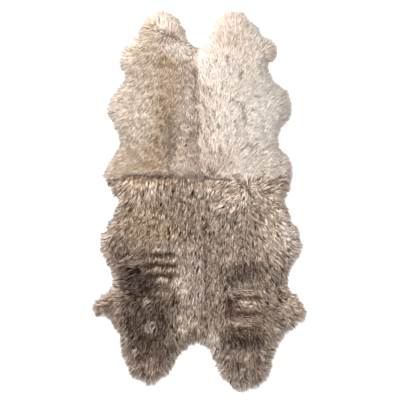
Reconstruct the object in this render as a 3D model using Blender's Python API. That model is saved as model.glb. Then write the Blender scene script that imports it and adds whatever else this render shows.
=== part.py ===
# A wool-on sheepskin rug lying flat, wool side up.
# Four whole skins are laid neck outwards, two above and two below, and sewn edge to edge
# along one centre seam and one cross seam.
# Each skin is one pelt: the leather is its flat underside and the wool stands on it.
# Lengths in the tables are millimetres, every other length is in metres.
import math

import bmesh
import bpy
import numpy as np
from mathutils import Vector, noise
from mathutils.geometry import delaunay_2d_cdt

RUG_NAME = "fur_rug"
MM = 0.001

# Wool on the open skin, and how it falls towards the outer rim
PILE_HEIGHT = 0.050
RIM_HEIGHT = 0.015
RIM_SHOULDER = 0.080

# Lumps in the wool: long swells, and the shorter clumps on them
SWELL_LENGTH = 0.170
SWELL_HEIGHT = 0.007
CLUMP_LENGTH = 0.055
CLUMP_HEIGHT = 0.006
# Separate layers of the seeded noise, and the step between them
SWELL_LAYER = 1
CLUMP_LAYER = 2
SWAY_LAYER = 3
BEND_LAYER = 4
LAYER_STEP = 7.3

# Skins are cut with straight walls this far apart along a seam
SEAM_GAP = 0.0004
SEAM_GROOVE_WIDTH = 0.030

# Spacing of the points along seams, rims and the top of the wool
SEAM_PITCH = 0.024
RIM_PITCH = 0.0225
TOP_PITCH = 0.0245
TOP_JITTER = 0.22
TOP_CLEARANCE = 0.014
TOP_SEED = 17
CURVE_STEPS = 16
SAME_PLACE = 1e-7
TINY = 1e-12

# Rim locks: each grows out of one panel of the rim wall and lies on the floor
LOCK_LENGTH_MIN = 0.024
LOCK_LENGTH_MAX = 0.038
LOCK_SHORTEST = 0.006
LOCK_ROOM = 0.42
LOCK_SWAY = 0.55
LOCK_BEND = 0.010
LOCK_WAVE = 0.095
LOCK_SPREAD = 0.36
OWN_PANEL = 0.0001
SEAM_END_REACH = 0.100
NOTCH_REACH = 0.160
LOCK_SIDE_ROOM = 0.006
# Sections of a lock: share of its length, share of the root's width, height above the floor
LOCK_SECTIONS = (
    (0.55, 0.70, 0.0125),
    (1.00, 0.24, 0.0040),
)
LOCK_SEED = 41

# Ends of the two seams, and their bends from the outer end to the crossing (mm)
SEAM_TOP = (4, 684)
SEAM_BOTTOM = (-5, -648)
SEAM_LEFT = (-427, 112)
SEAM_RIGHT = (422, 112)
SEAM_CROSSING = (22, 103)
UPPER_CENTRE_BENDS = ((-6, 377), (4, 240))
LOWER_CENTRE_BENDS = ((30, -430), (44, -240), (46, -72))
LEFT_CROSS_BENDS = ((-330, 116), (-234, 112), (-100, 104))
RIGHT_CROSS_BENDS = ((340, 100), (240, 90), (130, 92))

# Outer rims, each from the upper or lower end of the centre seam out to the cross seam:
# station, x, y (mm)
UPPER_LEFT_RIM = (
    ("neck inner root", -46, 722),
    ("neck inner side", -82, 766),
    ("neck inner cheek", -100, 808),
    ("neck inner tip", -130, 850),
    ("neck tip", -180, 870),
    ("neck outer tip", -230, 853),
    ("neck outer cheek", -255, 815),
    ("neck outer root", -272, 762),
    ("ear upper", -320, 722),
    ("ear tip", -350, 685),
    ("ear lower", -350, 648),
    ("waist upper", -334, 612),
    ("waist", -326, 565),
    ("shoulder upper", -370, 515),
    ("shoulder", -400, 472),
    ("shoulder tip", -409, 425),
    ("shoulder lower", -389, 378),
    ("flank upper", -361, 325),
    ("flank", -356, 262),
    ("hip upper", -388, 198),
    ("hip", -418, 155),
)
UPPER_RIGHT_RIM = (
    ("neck inner root", 50, 728),
    ("neck inner side", 78, 778),
    ("neck inner cheek", 90, 832),
    ("neck inner tip", 116, 858),
    ("neck tip", 158, 870),
    ("neck outer tip", 202, 858),
    ("neck outer cheek", 240, 812),
    ("neck outer root", 284, 762),
    ("ear upper", 336, 726),
    ("ear tip", 352, 706),
    ("ear lower", 328, 678),
    ("waist upper", 301, 640),
    ("waist", 303, 588),
    ("shoulder upper", 348, 540),
    ("shoulder", 392, 492),
    ("shoulder tip", 415, 445),
    ("shoulder lower", 404, 398),
    ("flank upper", 364, 348),
    ("flank", 354, 284),
    ("flank lower", 364, 222),
    ("hip upper", 402, 178),
    ("hip", 420, 140),
)
LOWER_LEFT_RIM = (
    ("neck inner root", -72, -672),
    ("neck inner side", -110, -716),
    ("neck inner cheek", -146, -776),
    ("neck inner tip", -188, -824),
    ("neck tip", -232, -846),
    ("neck outer tip", -274, -834),
    ("neck outer cheek", -310, -794),
    ("neck outer side", -336, -740),
    ("neck outer root", -346, -670),
    ("leg lower root", -370, -598),
    ("leg lower side", -418, -540),
    ("leg lower tip", -468, -526),
    ("leg tip", -487, -509),
    ("leg upper tip", -465, -480),
    ("leg upper side", -424, -448),
    ("waist", -385, -402),
    ("flank lower", -390, -342),
    ("flank", -418, -282),
    ("belly lower", -440, -228),
    ("belly", -446, -184),
    ("belly upper", -420, -134),
    ("hip hollow", -384, -70),
    ("hip", -366, 4),
    ("hip upper", -402, 70),
)
LOWER_RIGHT_RIM = (
    ("neck inner root", 52, -680),
    ("neck inner side", 90, -742),
    ("neck inner cheek", 120, -808),
    ("neck inner tip", 150, -858),
    ("neck tip", 204, -875),
    ("neck outer tip", 268, -862),
    ("neck outer cheek", 300, -830),
    ("neck outer side", 315, -786),
    ("neck outer root", 330, -720),
    ("leg lower root", 356, -656),
    ("leg lower side", 404, -600),
    ("leg lower tip", 460, -567),
    ("leg tip", 483, -541),
    ("leg upper tip", 473, -507),
    ("leg upper side", 442, -464),
    ("waist", 396, -410),
    ("flank lower", 404, -340),
    ("flank", 434, -276),
    ("belly lower", 456, -230),
    ("belly", 457, -190),
    ("belly upper", 438, -138),
    ("hip hollow", 405, -72),
    ("hip", 386, 0),
    ("hip upper", 400, 64),
)

# Depth of the groove that the wool leaves over each seam (mm), at its outer end and at the crossing
SEAM_GROOVES = {
    "upper_centre": (10, 6),
    "lower_centre": (9, 15),
    "left_cross": (17, 12),
    "right_cross": (6, 8),
}

# Partings and folds in the wool: name, from x, y, to x, y, half width, depth (mm)
PARTINGS = (
    ("upper left neck", -235, 770, -118, 742, 24, 12),
    ("upper left spine", -22, 590, -30, 120, 26, 7),
    ("upper right crease", 205, 425, 222, 270, 24, 8),
    ("lower left leg fold", -445, -480, -412, -532, 20, 13),
    ("lower left hollow", -330, -268, -170, -424, 40, 9),
    ("lower left neck", -240, -575, -272, -780, 34, 9),
    ("lower right flank crease", 360, -75, 404, -330, 22, 11),
    ("lower right hollow", 100, -330, 330, -400, 40, 9),
    ("lower right neck", 130, -620, 280, -690, 34, 8),
)

# Wool colours (sRGB), and how matt the wool is
PALE_CREAM = (226, 211, 198)
WARM_CREAM = (220, 202, 187)
GREY_TAUPE = (196, 176, 160)
WARM_TAUPE = (201, 181, 165)
WOOL_ROUGHNESS = 0.92


def linear(srgb):
    """Linear colour of an 8-bit sRGB triple."""
    channels = []
    for value in srgb:
        share = value / 255.0
        if share <= 0.04045:
            channels.append(share / 12.92)
        else:
            channels.append(((share + 0.055) / 1.055) ** 2.4)
    return (*channels, 1.0)


def metres(point):
    """A table point (mm) as an array in metres."""
    return np.array(point, dtype=float) * MM


def smooth_path(points):
    """Catmull-Rom curve through the points, as a dense polyline."""
    knots = np.array(points, dtype=float)
    first = 2.0 * knots[0] - knots[1]
    last = 2.0 * knots[-1] - knots[-2]
    knots = np.vstack([first, knots, last])
    path = []
    for index in range(1, len(knots) - 2):
        before, start, end, after = knots[index - 1:index + 3]
        for step in range(CURVE_STEPS):
            t = step / CURVE_STEPS
            path.append(0.5 * (2.0 * start + (end - before) * t
                               + (2.0 * before - 5.0 * start + 4.0 * end - after) * t * t
                               + (3.0 * start - before - 3.0 * end + after) * t ** 3))
    path.append(knots[-2])
    return np.array(path)


def resample(path, pitch):
    """Points at even steps of about the pitch along a polyline, both ends kept."""
    lengths = np.linalg.norm(np.diff(path, axis=0), axis=1)
    travel = np.concatenate([[0.0], np.cumsum(lengths)])
    count = max(1, round(travel[-1] / pitch))
    stations = np.linspace(0.0, travel[-1], count + 1)
    return np.column_stack([np.interp(stations, travel, path[:, 0]),
                            np.interp(stations, travel, path[:, 1])])


def seam_line(start, bends, end):
    """One seam from the outer rim to the crossing, as evenly spaced points."""
    points = [metres(point) for point in (start, *bends, end)]
    return resample(smooth_path(points), SEAM_PITCH)


def rim_line(seam_end, stations, cross_end):
    """One skin's outer rim from the centre seam to the cross seam, one point per lock."""
    middle = [metres(station[1:]) for station in stations]
    points = [metres(seam_end), *middle, metres(cross_end)]
    return resample(smooth_path(points), RIM_PITCH)


def side_normals(path):
    """Unit normals on the left of a polyline's direction, averaged at the bends."""
    steps = np.diff(path, axis=0)
    steps = steps / np.linalg.norm(steps, axis=1)[:, None]
    along = np.vstack([steps[:1], steps[:-1] + steps[1:], steps[-1:]])
    along = along / np.linalg.norm(along, axis=1)[:, None]
    return np.column_stack([-along[:, 1], along[:, 0]])


def distance_to(path, points):
    """Distance of each point to a polyline, and how far along it (0 to 1) the nearest spot is."""
    starts = path[:-1]
    steps = np.diff(path, axis=0)
    squares = np.maximum((steps ** 2).sum(axis=1), TINY)
    offsets = points[:, None, :] - starts[None, :, :]
    share = np.clip((offsets * steps[None, :, :]).sum(axis=2) / squares[None, :], 0.0, 1.0)
    nearest = starts[None, :, :] + share[:, :, None] * steps[None, :, :]
    gaps = np.linalg.norm(points[:, None, :] - nearest, axis=2)
    best = gaps.argmin(axis=1)
    rows = np.arange(len(points))
    return gaps[rows, best], (best + share[rows, best]) / len(steps)


def inside(outline, points):
    """Which points lie inside a closed outline."""
    crossings = np.zeros(len(points), dtype=int)
    for start, end in zip(outline, np.roll(outline, -1, axis=0)):
        spans = (start[1] > points[:, 1]) != (end[1] > points[:, 1])
        rise = end[1] - start[1]
        if abs(rise) < TINY:
            continue
        reach = start[0] + (points[:, 1] - start[1]) * (end[0] - start[0]) / rise
        crossings += spans & (points[:, 0] < reach)
    return crossings % 2 == 1


SEAMS = {
    "upper_centre": seam_line(SEAM_TOP, UPPER_CENTRE_BENDS, SEAM_CROSSING),
    "lower_centre": seam_line(SEAM_BOTTOM, LOWER_CENTRE_BENDS, SEAM_CROSSING),
    "left_cross": seam_line(SEAM_LEFT, LEFT_CROSS_BENDS, SEAM_CROSSING),
    "right_cross": seam_line(SEAM_RIGHT, RIGHT_CROSS_BENDS, SEAM_CROSSING),
}
RIMS = {
    "upper_left": rim_line(SEAM_TOP, UPPER_LEFT_RIM, SEAM_LEFT),
    "upper_right": rim_line(SEAM_TOP, UPPER_RIGHT_RIM, SEAM_RIGHT),
    "lower_left": rim_line(SEAM_BOTTOM, LOWER_LEFT_RIM, SEAM_LEFT),
    "lower_right": rim_line(SEAM_BOTTOM, LOWER_RIGHT_RIM, SEAM_RIGHT),
}

# Each skin: its name, centre seam, cross seam and wool colour
SKINS = (
    ("upper_left", "upper_centre", "left_cross", WARM_CREAM),
    ("upper_right", "upper_centre", "right_cross", PALE_CREAM),
    ("lower_left", "lower_centre", "left_cross", GREY_TAUPE),
    ("lower_right", "lower_centre", "right_cross", WARM_TAUPE),
)


def lump(x, y, length, layer):
    """Smooth seeded noise from -1 to 1 with lumps of about the given length."""
    return noise.noise(Vector((x / length, y / length, layer * LAYER_STEP)))


def rise_from_rim(distance):
    """Share of full pile height at a distance inside the outer rim: a rounded shoulder."""
    share = np.clip(distance / RIM_SHOULDER, 0.0, 1.0)
    return np.sqrt(1.0 - (1.0 - share) ** 2)


def wool_heights(points):
    """Height of the wool over each point: rounded rim, lumps, seam grooves and partings."""
    rim_distance = np.full(len(points), np.inf)
    for rim in RIMS.values():
        rim_distance = np.minimum(rim_distance, distance_to(rim, points)[0])
    rise = rise_from_rim(rim_distance)
    lumps = np.array([SWELL_HEIGHT * lump(x, y, SWELL_LENGTH, SWELL_LAYER)
                      + CLUMP_HEIGHT * lump(x, y, CLUMP_LENGTH, CLUMP_LAYER) for x, y in points])
    heights = RIM_HEIGHT + (PILE_HEIGHT - RIM_HEIGHT + lumps) * rise
    for name, (outer_depth, crossing_depth) in SEAM_GROOVES.items():
        gap, share = distance_to(SEAMS[name], points)
        depth = (outer_depth + (crossing_depth - outer_depth) * share) * MM
        heights -= depth * rise * np.exp(-(gap / SEAM_GROOVE_WIDTH) ** 2)
    for _, from_x, from_y, to_x, to_y, half_width, depth in PARTINGS:
        line = np.array([[from_x, from_y], [to_x, to_y]]) * MM
        gap, _ = distance_to(line, points)
        heights -= depth * MM * rise * np.exp(-(gap / (half_width * MM)) ** 2)
    return heights


def skin_outline(name, centre_seam, cross_seam):
    """Counter-clockwise outline of one skin, and how many of its first points are rim."""
    rim = RIMS[name]
    cross = SEAMS[cross_seam]
    centre = SEAMS[centre_seam]
    # Rim out to the cross seam, in along the cross seam, and back out along the centre seam
    loop = np.vstack([rim, cross[1:], centre[::-1][1:-1]])
    area = 0.5 * np.sum(loop[:, 0] * np.roll(loop[:, 1], -1) - np.roll(loop[:, 0], -1) * loop[:, 1])
    clockwise = area < 0.0
    middle = np.array([loop[:, 0].mean(), loop[:, 1].mean()])
    moved = loop.copy()
    for seam in (centre, cross):
        normals = side_normals(seam)
        towards = np.sign(((middle - seam[len(seam) // 2]) * normals[len(seam) // 2]).sum())
        for point, normal in zip(seam, normals):
            matches = np.linalg.norm(loop - point, axis=1) < SAME_PLACE
            moved[matches] += normal * towards * SEAM_GAP / 2.0
    if clockwise:
        moved = np.vstack([moved[:len(rim)][::-1], moved[len(rim):][::-1]])
    return moved, len(rim)


def top_points(outline):
    """Jittered triangular lattice over the skin, clear of its outline."""
    generator = np.random.default_rng(TOP_SEED)
    low = outline.min(axis=0)
    high = outline.max(axis=0)
    row_height = TOP_PITCH * math.sqrt(3.0) / 2.0
    lattice = []
    for row, y in enumerate(np.arange(low[1], high[1], row_height)):
        shift = 0.5 * TOP_PITCH * (row % 2)
        for x in np.arange(low[0] + shift, high[0], TOP_PITCH):
            lattice.append((x, y))
    lattice = np.array(lattice)
    lattice += generator.uniform(-TOP_JITTER, TOP_JITTER, lattice.shape) * TOP_PITCH
    lattice = lattice[inside(outline, lattice)]
    closed = np.vstack([outline, outline[:1]])
    return lattice[distance_to(closed, lattice)[0] > TOP_CLEARANCE]


def room_ahead(origin, direction, outlines):
    """Distance from a rim point along a direction to the next rim that faces it."""
    nearest = math.inf
    for outline in outlines:
        steps = np.roll(outline, -1, axis=0) - outline
        offsets = outline - origin
        cross = direction[0] * steps[:, 1] - direction[1] * steps[:, 0]
        cross = np.where(np.abs(cross) < TINY, TINY, cross)
        travel = (offsets[:, 0] * steps[:, 1] - offsets[:, 1] * steps[:, 0]) / cross
        share = (offsets[:, 0] * direction[1] - offsets[:, 1] * direction[0]) / cross
        hits = (travel > OWN_PANEL) & (share >= 0.0) & (share <= 1.0)
        if hits.any():
            nearest = min(nearest, travel[hits].min())
    return nearest


def beside_seam(seam, place):
    """Offset of a place from a seam's outer end, and the direction away from the seam's own line."""
    outward = seam[0] - seam[1]
    outward = outward / np.linalg.norm(outward)
    offset = place - seam[0]
    away = offset - outward * (offset @ outward)
    return offset, away / np.linalg.norm(away)


def clear_of_seams(place, heading):
    """A lock's heading, turned so that it leans less over the line of a seam that ends close by."""
    for seam in SEAMS.values():
        offset, away = beside_seam(seam, place)
        closeness = 1.0 - np.linalg.norm(offset) / SEAM_END_REACH
        lean = heading @ away
        if closeness > 0.0 and lean < 0.0:
            heading = heading - away * lean * closeness
            heading = heading / np.linalg.norm(heading)
    return heading


def room_to_seams(place, heading):
    """Length at which a lock would cross the line of a seam that ends in the same notch."""
    room = math.inf
    for seam in SEAMS.values():
        offset, away = beside_seam(seam, place)
        lean = -(heading @ away)
        if np.linalg.norm(offset) < NOTCH_REACH and lean > 0.0:
            room = min(room, max(0.0, offset @ away - LOCK_SIDE_ROOM) / lean)
    return room


def lock_headings(places, normals):
    """Directions of a rim's locks: outwards, swayed together in waves and clear of the seams."""
    headings = []
    for place, normal in zip(places, normals):
        outward = np.array([normal.x, normal.y])
        sway = LOCK_SWAY * lump(*place, LOCK_WAVE, SWAY_LAYER)
        heading = outward + sway * np.array([-outward[1], outward[0]])
        headings.append(clear_of_seams(place, heading / np.linalg.norm(heading)))
    return np.array(headings)


def lock_lengths(places, headings, outlines):
    """Lengths of a rim's locks, shortened where neighbours or a facing rim come close."""
    generator = np.random.default_rng(LOCK_SEED + len(places))
    lengths = generator.uniform(LOCK_LENGTH_MIN, LOCK_LENGTH_MAX, len(places))
    for index, (place, heading) in enumerate(zip(places, headings)):
        ahead = LOCK_ROOM * room_ahead(place, heading, outlines)
        lengths[index] = min(lengths[index], ahead, room_to_seams(place, heading))
    for apart in (1, 2):
        for index in range(len(places) - apart):
            pair = [index, index + apart]
            step = places[pair[1]] - places[pair[0]]
            pitch = np.linalg.norm(step)
            closing = -((headings[pair[1]] - headings[pair[0]]) @ step) / pitch
            if closing > 0.0:
                lengths[pair] = np.minimum(lengths[pair], LOCK_SPREAD * pitch / closing)
    return lengths


def grow_lock(mesh, wall, length, heading, bend):
    """Extrude one wall panel outwards into a tapered lock whose underside stays on the floor."""
    tangent = Vector((-wall.normal.y, wall.normal.x, 0.0)).normalized()
    root = wall.calc_center_median()
    root.z = 0.0
    half_width = max(abs((vertex.co - root).dot(tangent)) for vertex in wall.verts)
    heading = Vector((*heading, 0.0))
    across = Vector((-heading.y, heading.x, 0.0))
    panel = wall
    for share, width_share, height in LOCK_SECTIONS:
        panel = bmesh.ops.extrude_discrete_faces(mesh, faces=[panel])["faces"][0]
        centre = root + heading * length * share + across * bend * share * share
        blend = tangent.lerp(across, share).normalized()
        ordered = sorted(panel.verts, key=lambda vertex: (vertex.co - root).dot(tangent))
        upper = sorted(panel.verts, key=lambda vertex: vertex.co.z)[2:]
        for position, vertex in enumerate(ordered):
            side = -1.0 if position < 2 else 1.0
            corner = centre + blend * side * half_width * width_share
            corner.z = height if vertex in upper else 0.0
            vertex.co = corner


def wool_top(mesh, outline):
    """Lumpy wool surface inside an outline, as triangles."""
    points = np.vstack([outline, top_points(outline)])
    count = len(outline)
    borders = [(index, (index + 1) % count) for index in range(count)]
    flat_points = [Vector(point) for point in points]
    inner_only = 1
    flat, _, triangles, *_ = delaunay_2d_cdt(flat_points, borders, [], inner_only, SAME_PLACE)
    places = np.array([tuple(point) for point in flat])
    vertices = [mesh.verts.new((x, y, z)) for (x, y), z in zip(places, wool_heights(places))]
    for triangle in triangles:
        mesh.faces.new([vertices[index] for index in triangle])


def walls_and_underside(mesh):
    """Extrude the wool's border straight down to the floor and close it with one flat face."""
    border = [edge for edge in mesh.edges if edge.is_boundary]
    extruded = bmesh.ops.extrude_edge_only(mesh, edges=border)["geom"]
    for item in extruded:
        if isinstance(item, bmesh.types.BMVert):
            item.co.z = 0.0
    floor_line = [edge for edge in mesh.edges if edge.is_boundary]
    bmesh.ops.edgeloop_fill(mesh, edges=floor_line)
    bmesh.ops.recalc_face_normals(mesh, faces=mesh.faces)
    return [item for item in extruded if isinstance(item, bmesh.types.BMFace)]


def grow_rim_locks(mesh, walls, rim, outlines):
    """One lock from each wall panel along the rim, where there is room for one."""
    places = 0.5 * (rim[1:] + rim[:-1])
    wall_places = np.array([wall.calc_center_median().xy for wall in walls])
    panels = [walls[int(np.linalg.norm(wall_places - place, axis=1).argmin())] for place in places]
    headings = lock_headings(places, [panel.normal.copy() for panel in panels])
    lengths = lock_lengths(places, headings, outlines)
    for place, panel, heading, length in zip(places, panels, headings, lengths):
        if length > LOCK_SHORTEST:
            bend = LOCK_BEND * lump(*place, LOCK_WAVE, BEND_LAYER) * length / LOCK_LENGTH_MAX
            grow_lock(mesh, panel, length, heading, bend)
    bmesh.ops.recalc_face_normals(mesh, faces=mesh.faces)


def build_skin(name, colour, outlines, collection):
    """One pelt as a closed solid: lumpy wool, straight walls, flat underside and rim locks."""
    outline, rim_count = outlines[name]
    mesh = bmesh.new()
    wool_top(mesh, outline)
    walls = walls_and_underside(mesh)
    grow_rim_locks(mesh, walls, outline[:rim_count], [item[0] for item in outlines.values()])
    data = bpy.data.meshes.new("skin_" + name)
    mesh.to_mesh(data)
    mesh.free()
    skin = bpy.data.objects.new("skin_" + name, data)
    data.materials.append(wool_material("wool_" + name, colour))
    collection.objects.link(skin)
    return skin


def wool_material(name, colour):
    """Matt wool of one colour."""
    material = bpy.data.materials.new(name)
    material.use_nodes = True
    shader = material.node_tree.nodes["Principled BSDF"]
    shader.inputs["Base Color"].default_value = linear(colour)
    shader.inputs["Roughness"].default_value = WOOL_ROUGHNESS
    shader.inputs["Metallic"].default_value = 0.0
    return material


def centre_on_origin(objects):
    """Move the meshes so that their common box stands on the origin, centred in plan."""
    corners = np.array([vertex.co for item in objects for vertex in item.data.vertices])
    low = corners.min(axis=0)
    high = corners.max(axis=0)
    shift = Vector((-(low[0] + high[0]) / 2.0, -(low[1] + high[1]) / 2.0, -low[2]))
    for item in objects:
        for vertex in item.data.vertices:
            vertex.co += shift
    print("size", high - low, "shift", tuple(shift))


def build_rug():
    """All four skins in one collection."""
    for item in list(bpy.data.objects):
        bpy.data.objects.remove(item, do_unlink=True)
    collection = bpy.data.collections.new(RUG_NAME)
    bpy.context.scene.collection.children.link(collection)
    outlines = {name: skin_outline(name, centre, cross) for name, centre, cross, _ in SKINS}
    skins = [build_skin(name, colour, outlines, collection) for name, _, _, colour in SKINS]
    centre_on_origin(skins)


build_rug()
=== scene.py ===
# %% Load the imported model
import math

import bmesh
import bpy
import numpy as np
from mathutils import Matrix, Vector
from mathutils.bvhtree import BVHTree
from mathutils.geometry import delaunay_2d_cdt


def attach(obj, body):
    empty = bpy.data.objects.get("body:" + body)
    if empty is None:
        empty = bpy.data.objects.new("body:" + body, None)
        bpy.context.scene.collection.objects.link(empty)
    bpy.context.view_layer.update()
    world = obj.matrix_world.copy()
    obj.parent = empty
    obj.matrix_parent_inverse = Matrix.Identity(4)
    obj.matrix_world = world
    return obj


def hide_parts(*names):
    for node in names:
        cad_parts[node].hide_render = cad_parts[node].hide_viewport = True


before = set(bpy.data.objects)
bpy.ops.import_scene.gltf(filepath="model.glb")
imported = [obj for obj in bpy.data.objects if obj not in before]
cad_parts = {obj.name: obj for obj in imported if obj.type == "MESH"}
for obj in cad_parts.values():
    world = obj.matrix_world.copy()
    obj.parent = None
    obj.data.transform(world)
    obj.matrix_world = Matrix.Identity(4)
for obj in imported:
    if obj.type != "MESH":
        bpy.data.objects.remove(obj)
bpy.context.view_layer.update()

# %% [markdown]
# This script dresses a rug of four wool-on sheepskins. Each skin is a thin hide with a dense undercoat and
# thousands of pointed wool locks on it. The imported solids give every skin's place, outline and height, and
# they stay in the physics. Here each one is replaced by a hide, an undercoat and its locks.
#
# The camera comes first, because everything is judged in its picture. The rug is seen from straight above,
# so a long lens hangs over its middle and looks down. A long lens keeps the rims from leaning outwards.

# %% Camera over the rug
PICTURE_WIDTH = 1.895
LENS = 85.0
SENSOR = 36.0
CAMERA_OFFSET = (0.005, 0.002)

camera_data = bpy.data.cameras.new("camera")
camera_data.lens = LENS
camera_data.sensor_width = SENSOR
camera = bpy.data.objects.new("camera", camera_data)
camera_height = PICTURE_WIDTH / 2.0 / (SENSOR / 2.0 / LENS)
camera.location = (*CAMERA_OFFSET, camera_height)
bpy.context.scene.collection.objects.link(camera)
bpy.context.scene.camera = camera
print("camera height", round(camera_height, 3))

# %% [markdown]
# The studio is a pale floor under a bright, even sky, with one large soft lamp from the upper left. The lamp
# is broad, so that wool keeps its soft look, and low enough to draw small shadows behind the locks.

# %% Floor and light
FLOOR_SIZE = 14.0
FLOOR_COLOUR = (0.90, 0.90, 0.90, 1.0)
FLOOR_ROUGHNESS = 0.9
SKY_COLOUR = (1.0, 1.0, 1.0, 1.0)
SKY_STRENGTH = 0.88
LAMP_POWER = 360.0
LAMP_SIZE = 0.7
LAMP_PLACE = (-1.2, 2.2, 4.0)

floor_mesh = bpy.data.meshes.new("floor")
floor_form = bmesh.new()
bmesh.ops.create_grid(floor_form, x_segments=1, y_segments=1, size=FLOOR_SIZE / 2.0)
floor_form.to_mesh(floor_mesh)
floor_form.free()
floor = bpy.data.objects.new("floor", floor_mesh)
bpy.context.scene.collection.objects.link(floor)
floor_finish = bpy.data.materials.new("pale_floor")
floor_finish.use_nodes = True
floor_shader = floor_finish.node_tree.nodes["Principled BSDF"]
floor_shader.inputs["Base Color"].default_value = FLOOR_COLOUR
floor_shader.inputs["Roughness"].default_value = FLOOR_ROUGHNESS
floor_mesh.materials.append(floor_finish)

sky = bpy.data.worlds.new("sky")
sky.use_nodes = True
sky.node_tree.nodes["Background"].inputs["Color"].default_value = SKY_COLOUR
sky.node_tree.nodes["Background"].inputs["Strength"].default_value = SKY_STRENGTH
bpy.context.scene.world = sky
lamp_data = bpy.data.lights.new("soft_lamp", "AREA")
lamp_data.energy = LAMP_POWER
lamp_data.size = LAMP_SIZE
lamp = bpy.data.objects.new("soft_lamp", lamp_data)
lamp.location = LAMP_PLACE
lamp.rotation_mode = "QUATERNION"
lamp.rotation_quaternion = (-Vector(LAMP_PLACE)).to_track_quat("-Z", "Y")
bpy.context.scene.collection.objects.link(lamp)
bpy.context.scene.view_settings.view_transform = "Standard"
print("floor", FLOOR_SIZE, "sky", SKY_STRENGTH, "lamp", LAMP_POWER, "at", LAMP_PLACE)

# %% [markdown]
# A hide's cut edge is read from its solid. The solid's walls stand straight up from the floor along the rim
# and the seams, so a floor point with a wall point right above it lies on the cut edge. The walls are lower
# in the corner where the four skins meet, so that corner is found by its place. The points are then chained
# from neighbour to neighbour. Redrawing the outline by hand would be the other way, but then the looks and
# the physics could drift apart.

# %% Where the four skins meet
SKINS = ("upper_left", "upper_right", "lower_left", "lower_right")
PLACE_STEP = 0.00005


def places_of(mesh):
    """Places of a mesh's points as an array."""
    places = np.empty(len(mesh.vertices) * 3)
    mesh.vertices.foreach_get("co", places)
    return places.reshape(-1, 3)


def solid_of(skin):
    """Mesh of a skin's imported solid."""
    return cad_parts["skin_" + skin].data


def meeting_place(skins):
    """Floor point of the first skin's solid that lies nearest to all the other solids."""
    floors = []
    for skin in skins:
        places = places_of(solid_of(skin))
        floors.append(places[places[:, 2] < PLACE_STEP][:, :2])
    gaps = [np.linalg.norm(floors[0][:, None] - other[None], axis=2).min(axis=1) for other in floors[1:]]
    return floors[0][np.max(gaps, axis=0).argmin()]


crossing = meeting_place(SKINS)
print("the four skins meet at", crossing.round(4))

# %% Cut edge of each hide
WALL_HEIGHT = 0.0145
CROSSING_REACH = 0.001


def shoelace(outline):
    """Area inside a closed outline, above zero where it runs counter-clockwise."""
    turned = np.roll(outline, -1, axis=0)
    return 0.5 * np.sum(outline[:, 0] * turned[:, 1] - turned[:, 0] * outline[:, 1])


def cut_edge(skin):
    """Closed outline of a skin's hide in plan, counter-clockwise."""
    floor_points = {}
    wall_tops = set()
    for x, y, z in places_of(solid_of(skin)):
        key = (round(x / PLACE_STEP), round(y / PLACE_STEP))
        if z < PLACE_STEP:
            floor_points[key] = (x, y)
        if z > WALL_HEIGHT:
            wall_tops.add(key)
    loose = np.array([place for key, place in floor_points.items()
                      if key in wall_tops or math.dist(place, crossing) < CROSSING_REACH])
    chain = [0]
    waiting = set(range(1, len(loose)))
    while waiting:
        rest = np.array(sorted(waiting))
        gaps = np.linalg.norm(loose[rest] - loose[chain[-1]], axis=1)
        chain.append(int(rest[gaps.argmin()]))
        waiting.remove(chain[-1])
    outline = loose[chain]
    return outline if shoelace(outline) > 0.0 else outline[::-1]


edges = {skin: cut_edge(skin) for skin in SKINS}
for skin, edge in edges.items():
    steps = np.linalg.norm(np.roll(edge, -1, axis=0) - edge, axis=1)
    print(skin, "edge points", len(edge), "longest step", round(steps.max(), 4))

# %% [markdown]
# The ripple below stands in for chance in wool. It adds a few plane waves of about one wavelength, with
# directions and phases from a seed, so it is smooth, repeatable and quick on thousands of points at once. A
# noise texture does the same inside a material, but these values are needed on the meshes themselves.

# %% Smooth repeatable ripples
RIPPLE_WAVES = 7
RIPPLE_SPREAD = (0.72, 1.38)


def ripple(places, wavelength, seed):
    """Smooth values of about -1 to 1 that vary over one wavelength."""
    chance = np.random.default_rng(seed)
    total = np.zeros(len(places))
    for _ in range(RIPPLE_WAVES):
        heading = chance.uniform(0.0, math.tau)
        length = wavelength * chance.uniform(*RIPPLE_SPREAD)
        phase = chance.uniform(0.0, math.tau)
        run = places[:, 0] * math.cos(heading) + places[:, 1] * math.sin(heading)
        total += np.sin(run * math.tau / length + phase)
    return total / math.sqrt(RIPPLE_WAVES * 2.0)


print("ripple at three places", ripple(np.array(((0.0, 0.0), (0.1, 0.0), (0.2, 0.0))), 0.3, 1).round(2))

# %% [markdown]
# A tanned sheepskin is a hide of about a millimetre and a half. Its upper face carries the wool, and its
# lower face, the flesh side, is a pale suede that lies on the floor. The hide is one closed sheet with the
# cut edge's outline. A grid cut to shape would leave a stepped rim, so the outline is filled by a
# constrained Delaunay triangulation, which keeps every point of the edge.

# %% Hides
HIDE_FLOOR = 0.0008
HIDE_THICKNESS = 0.0016
INSIDE_ONLY = 1
WELD_GAP = 1e-7


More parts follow.
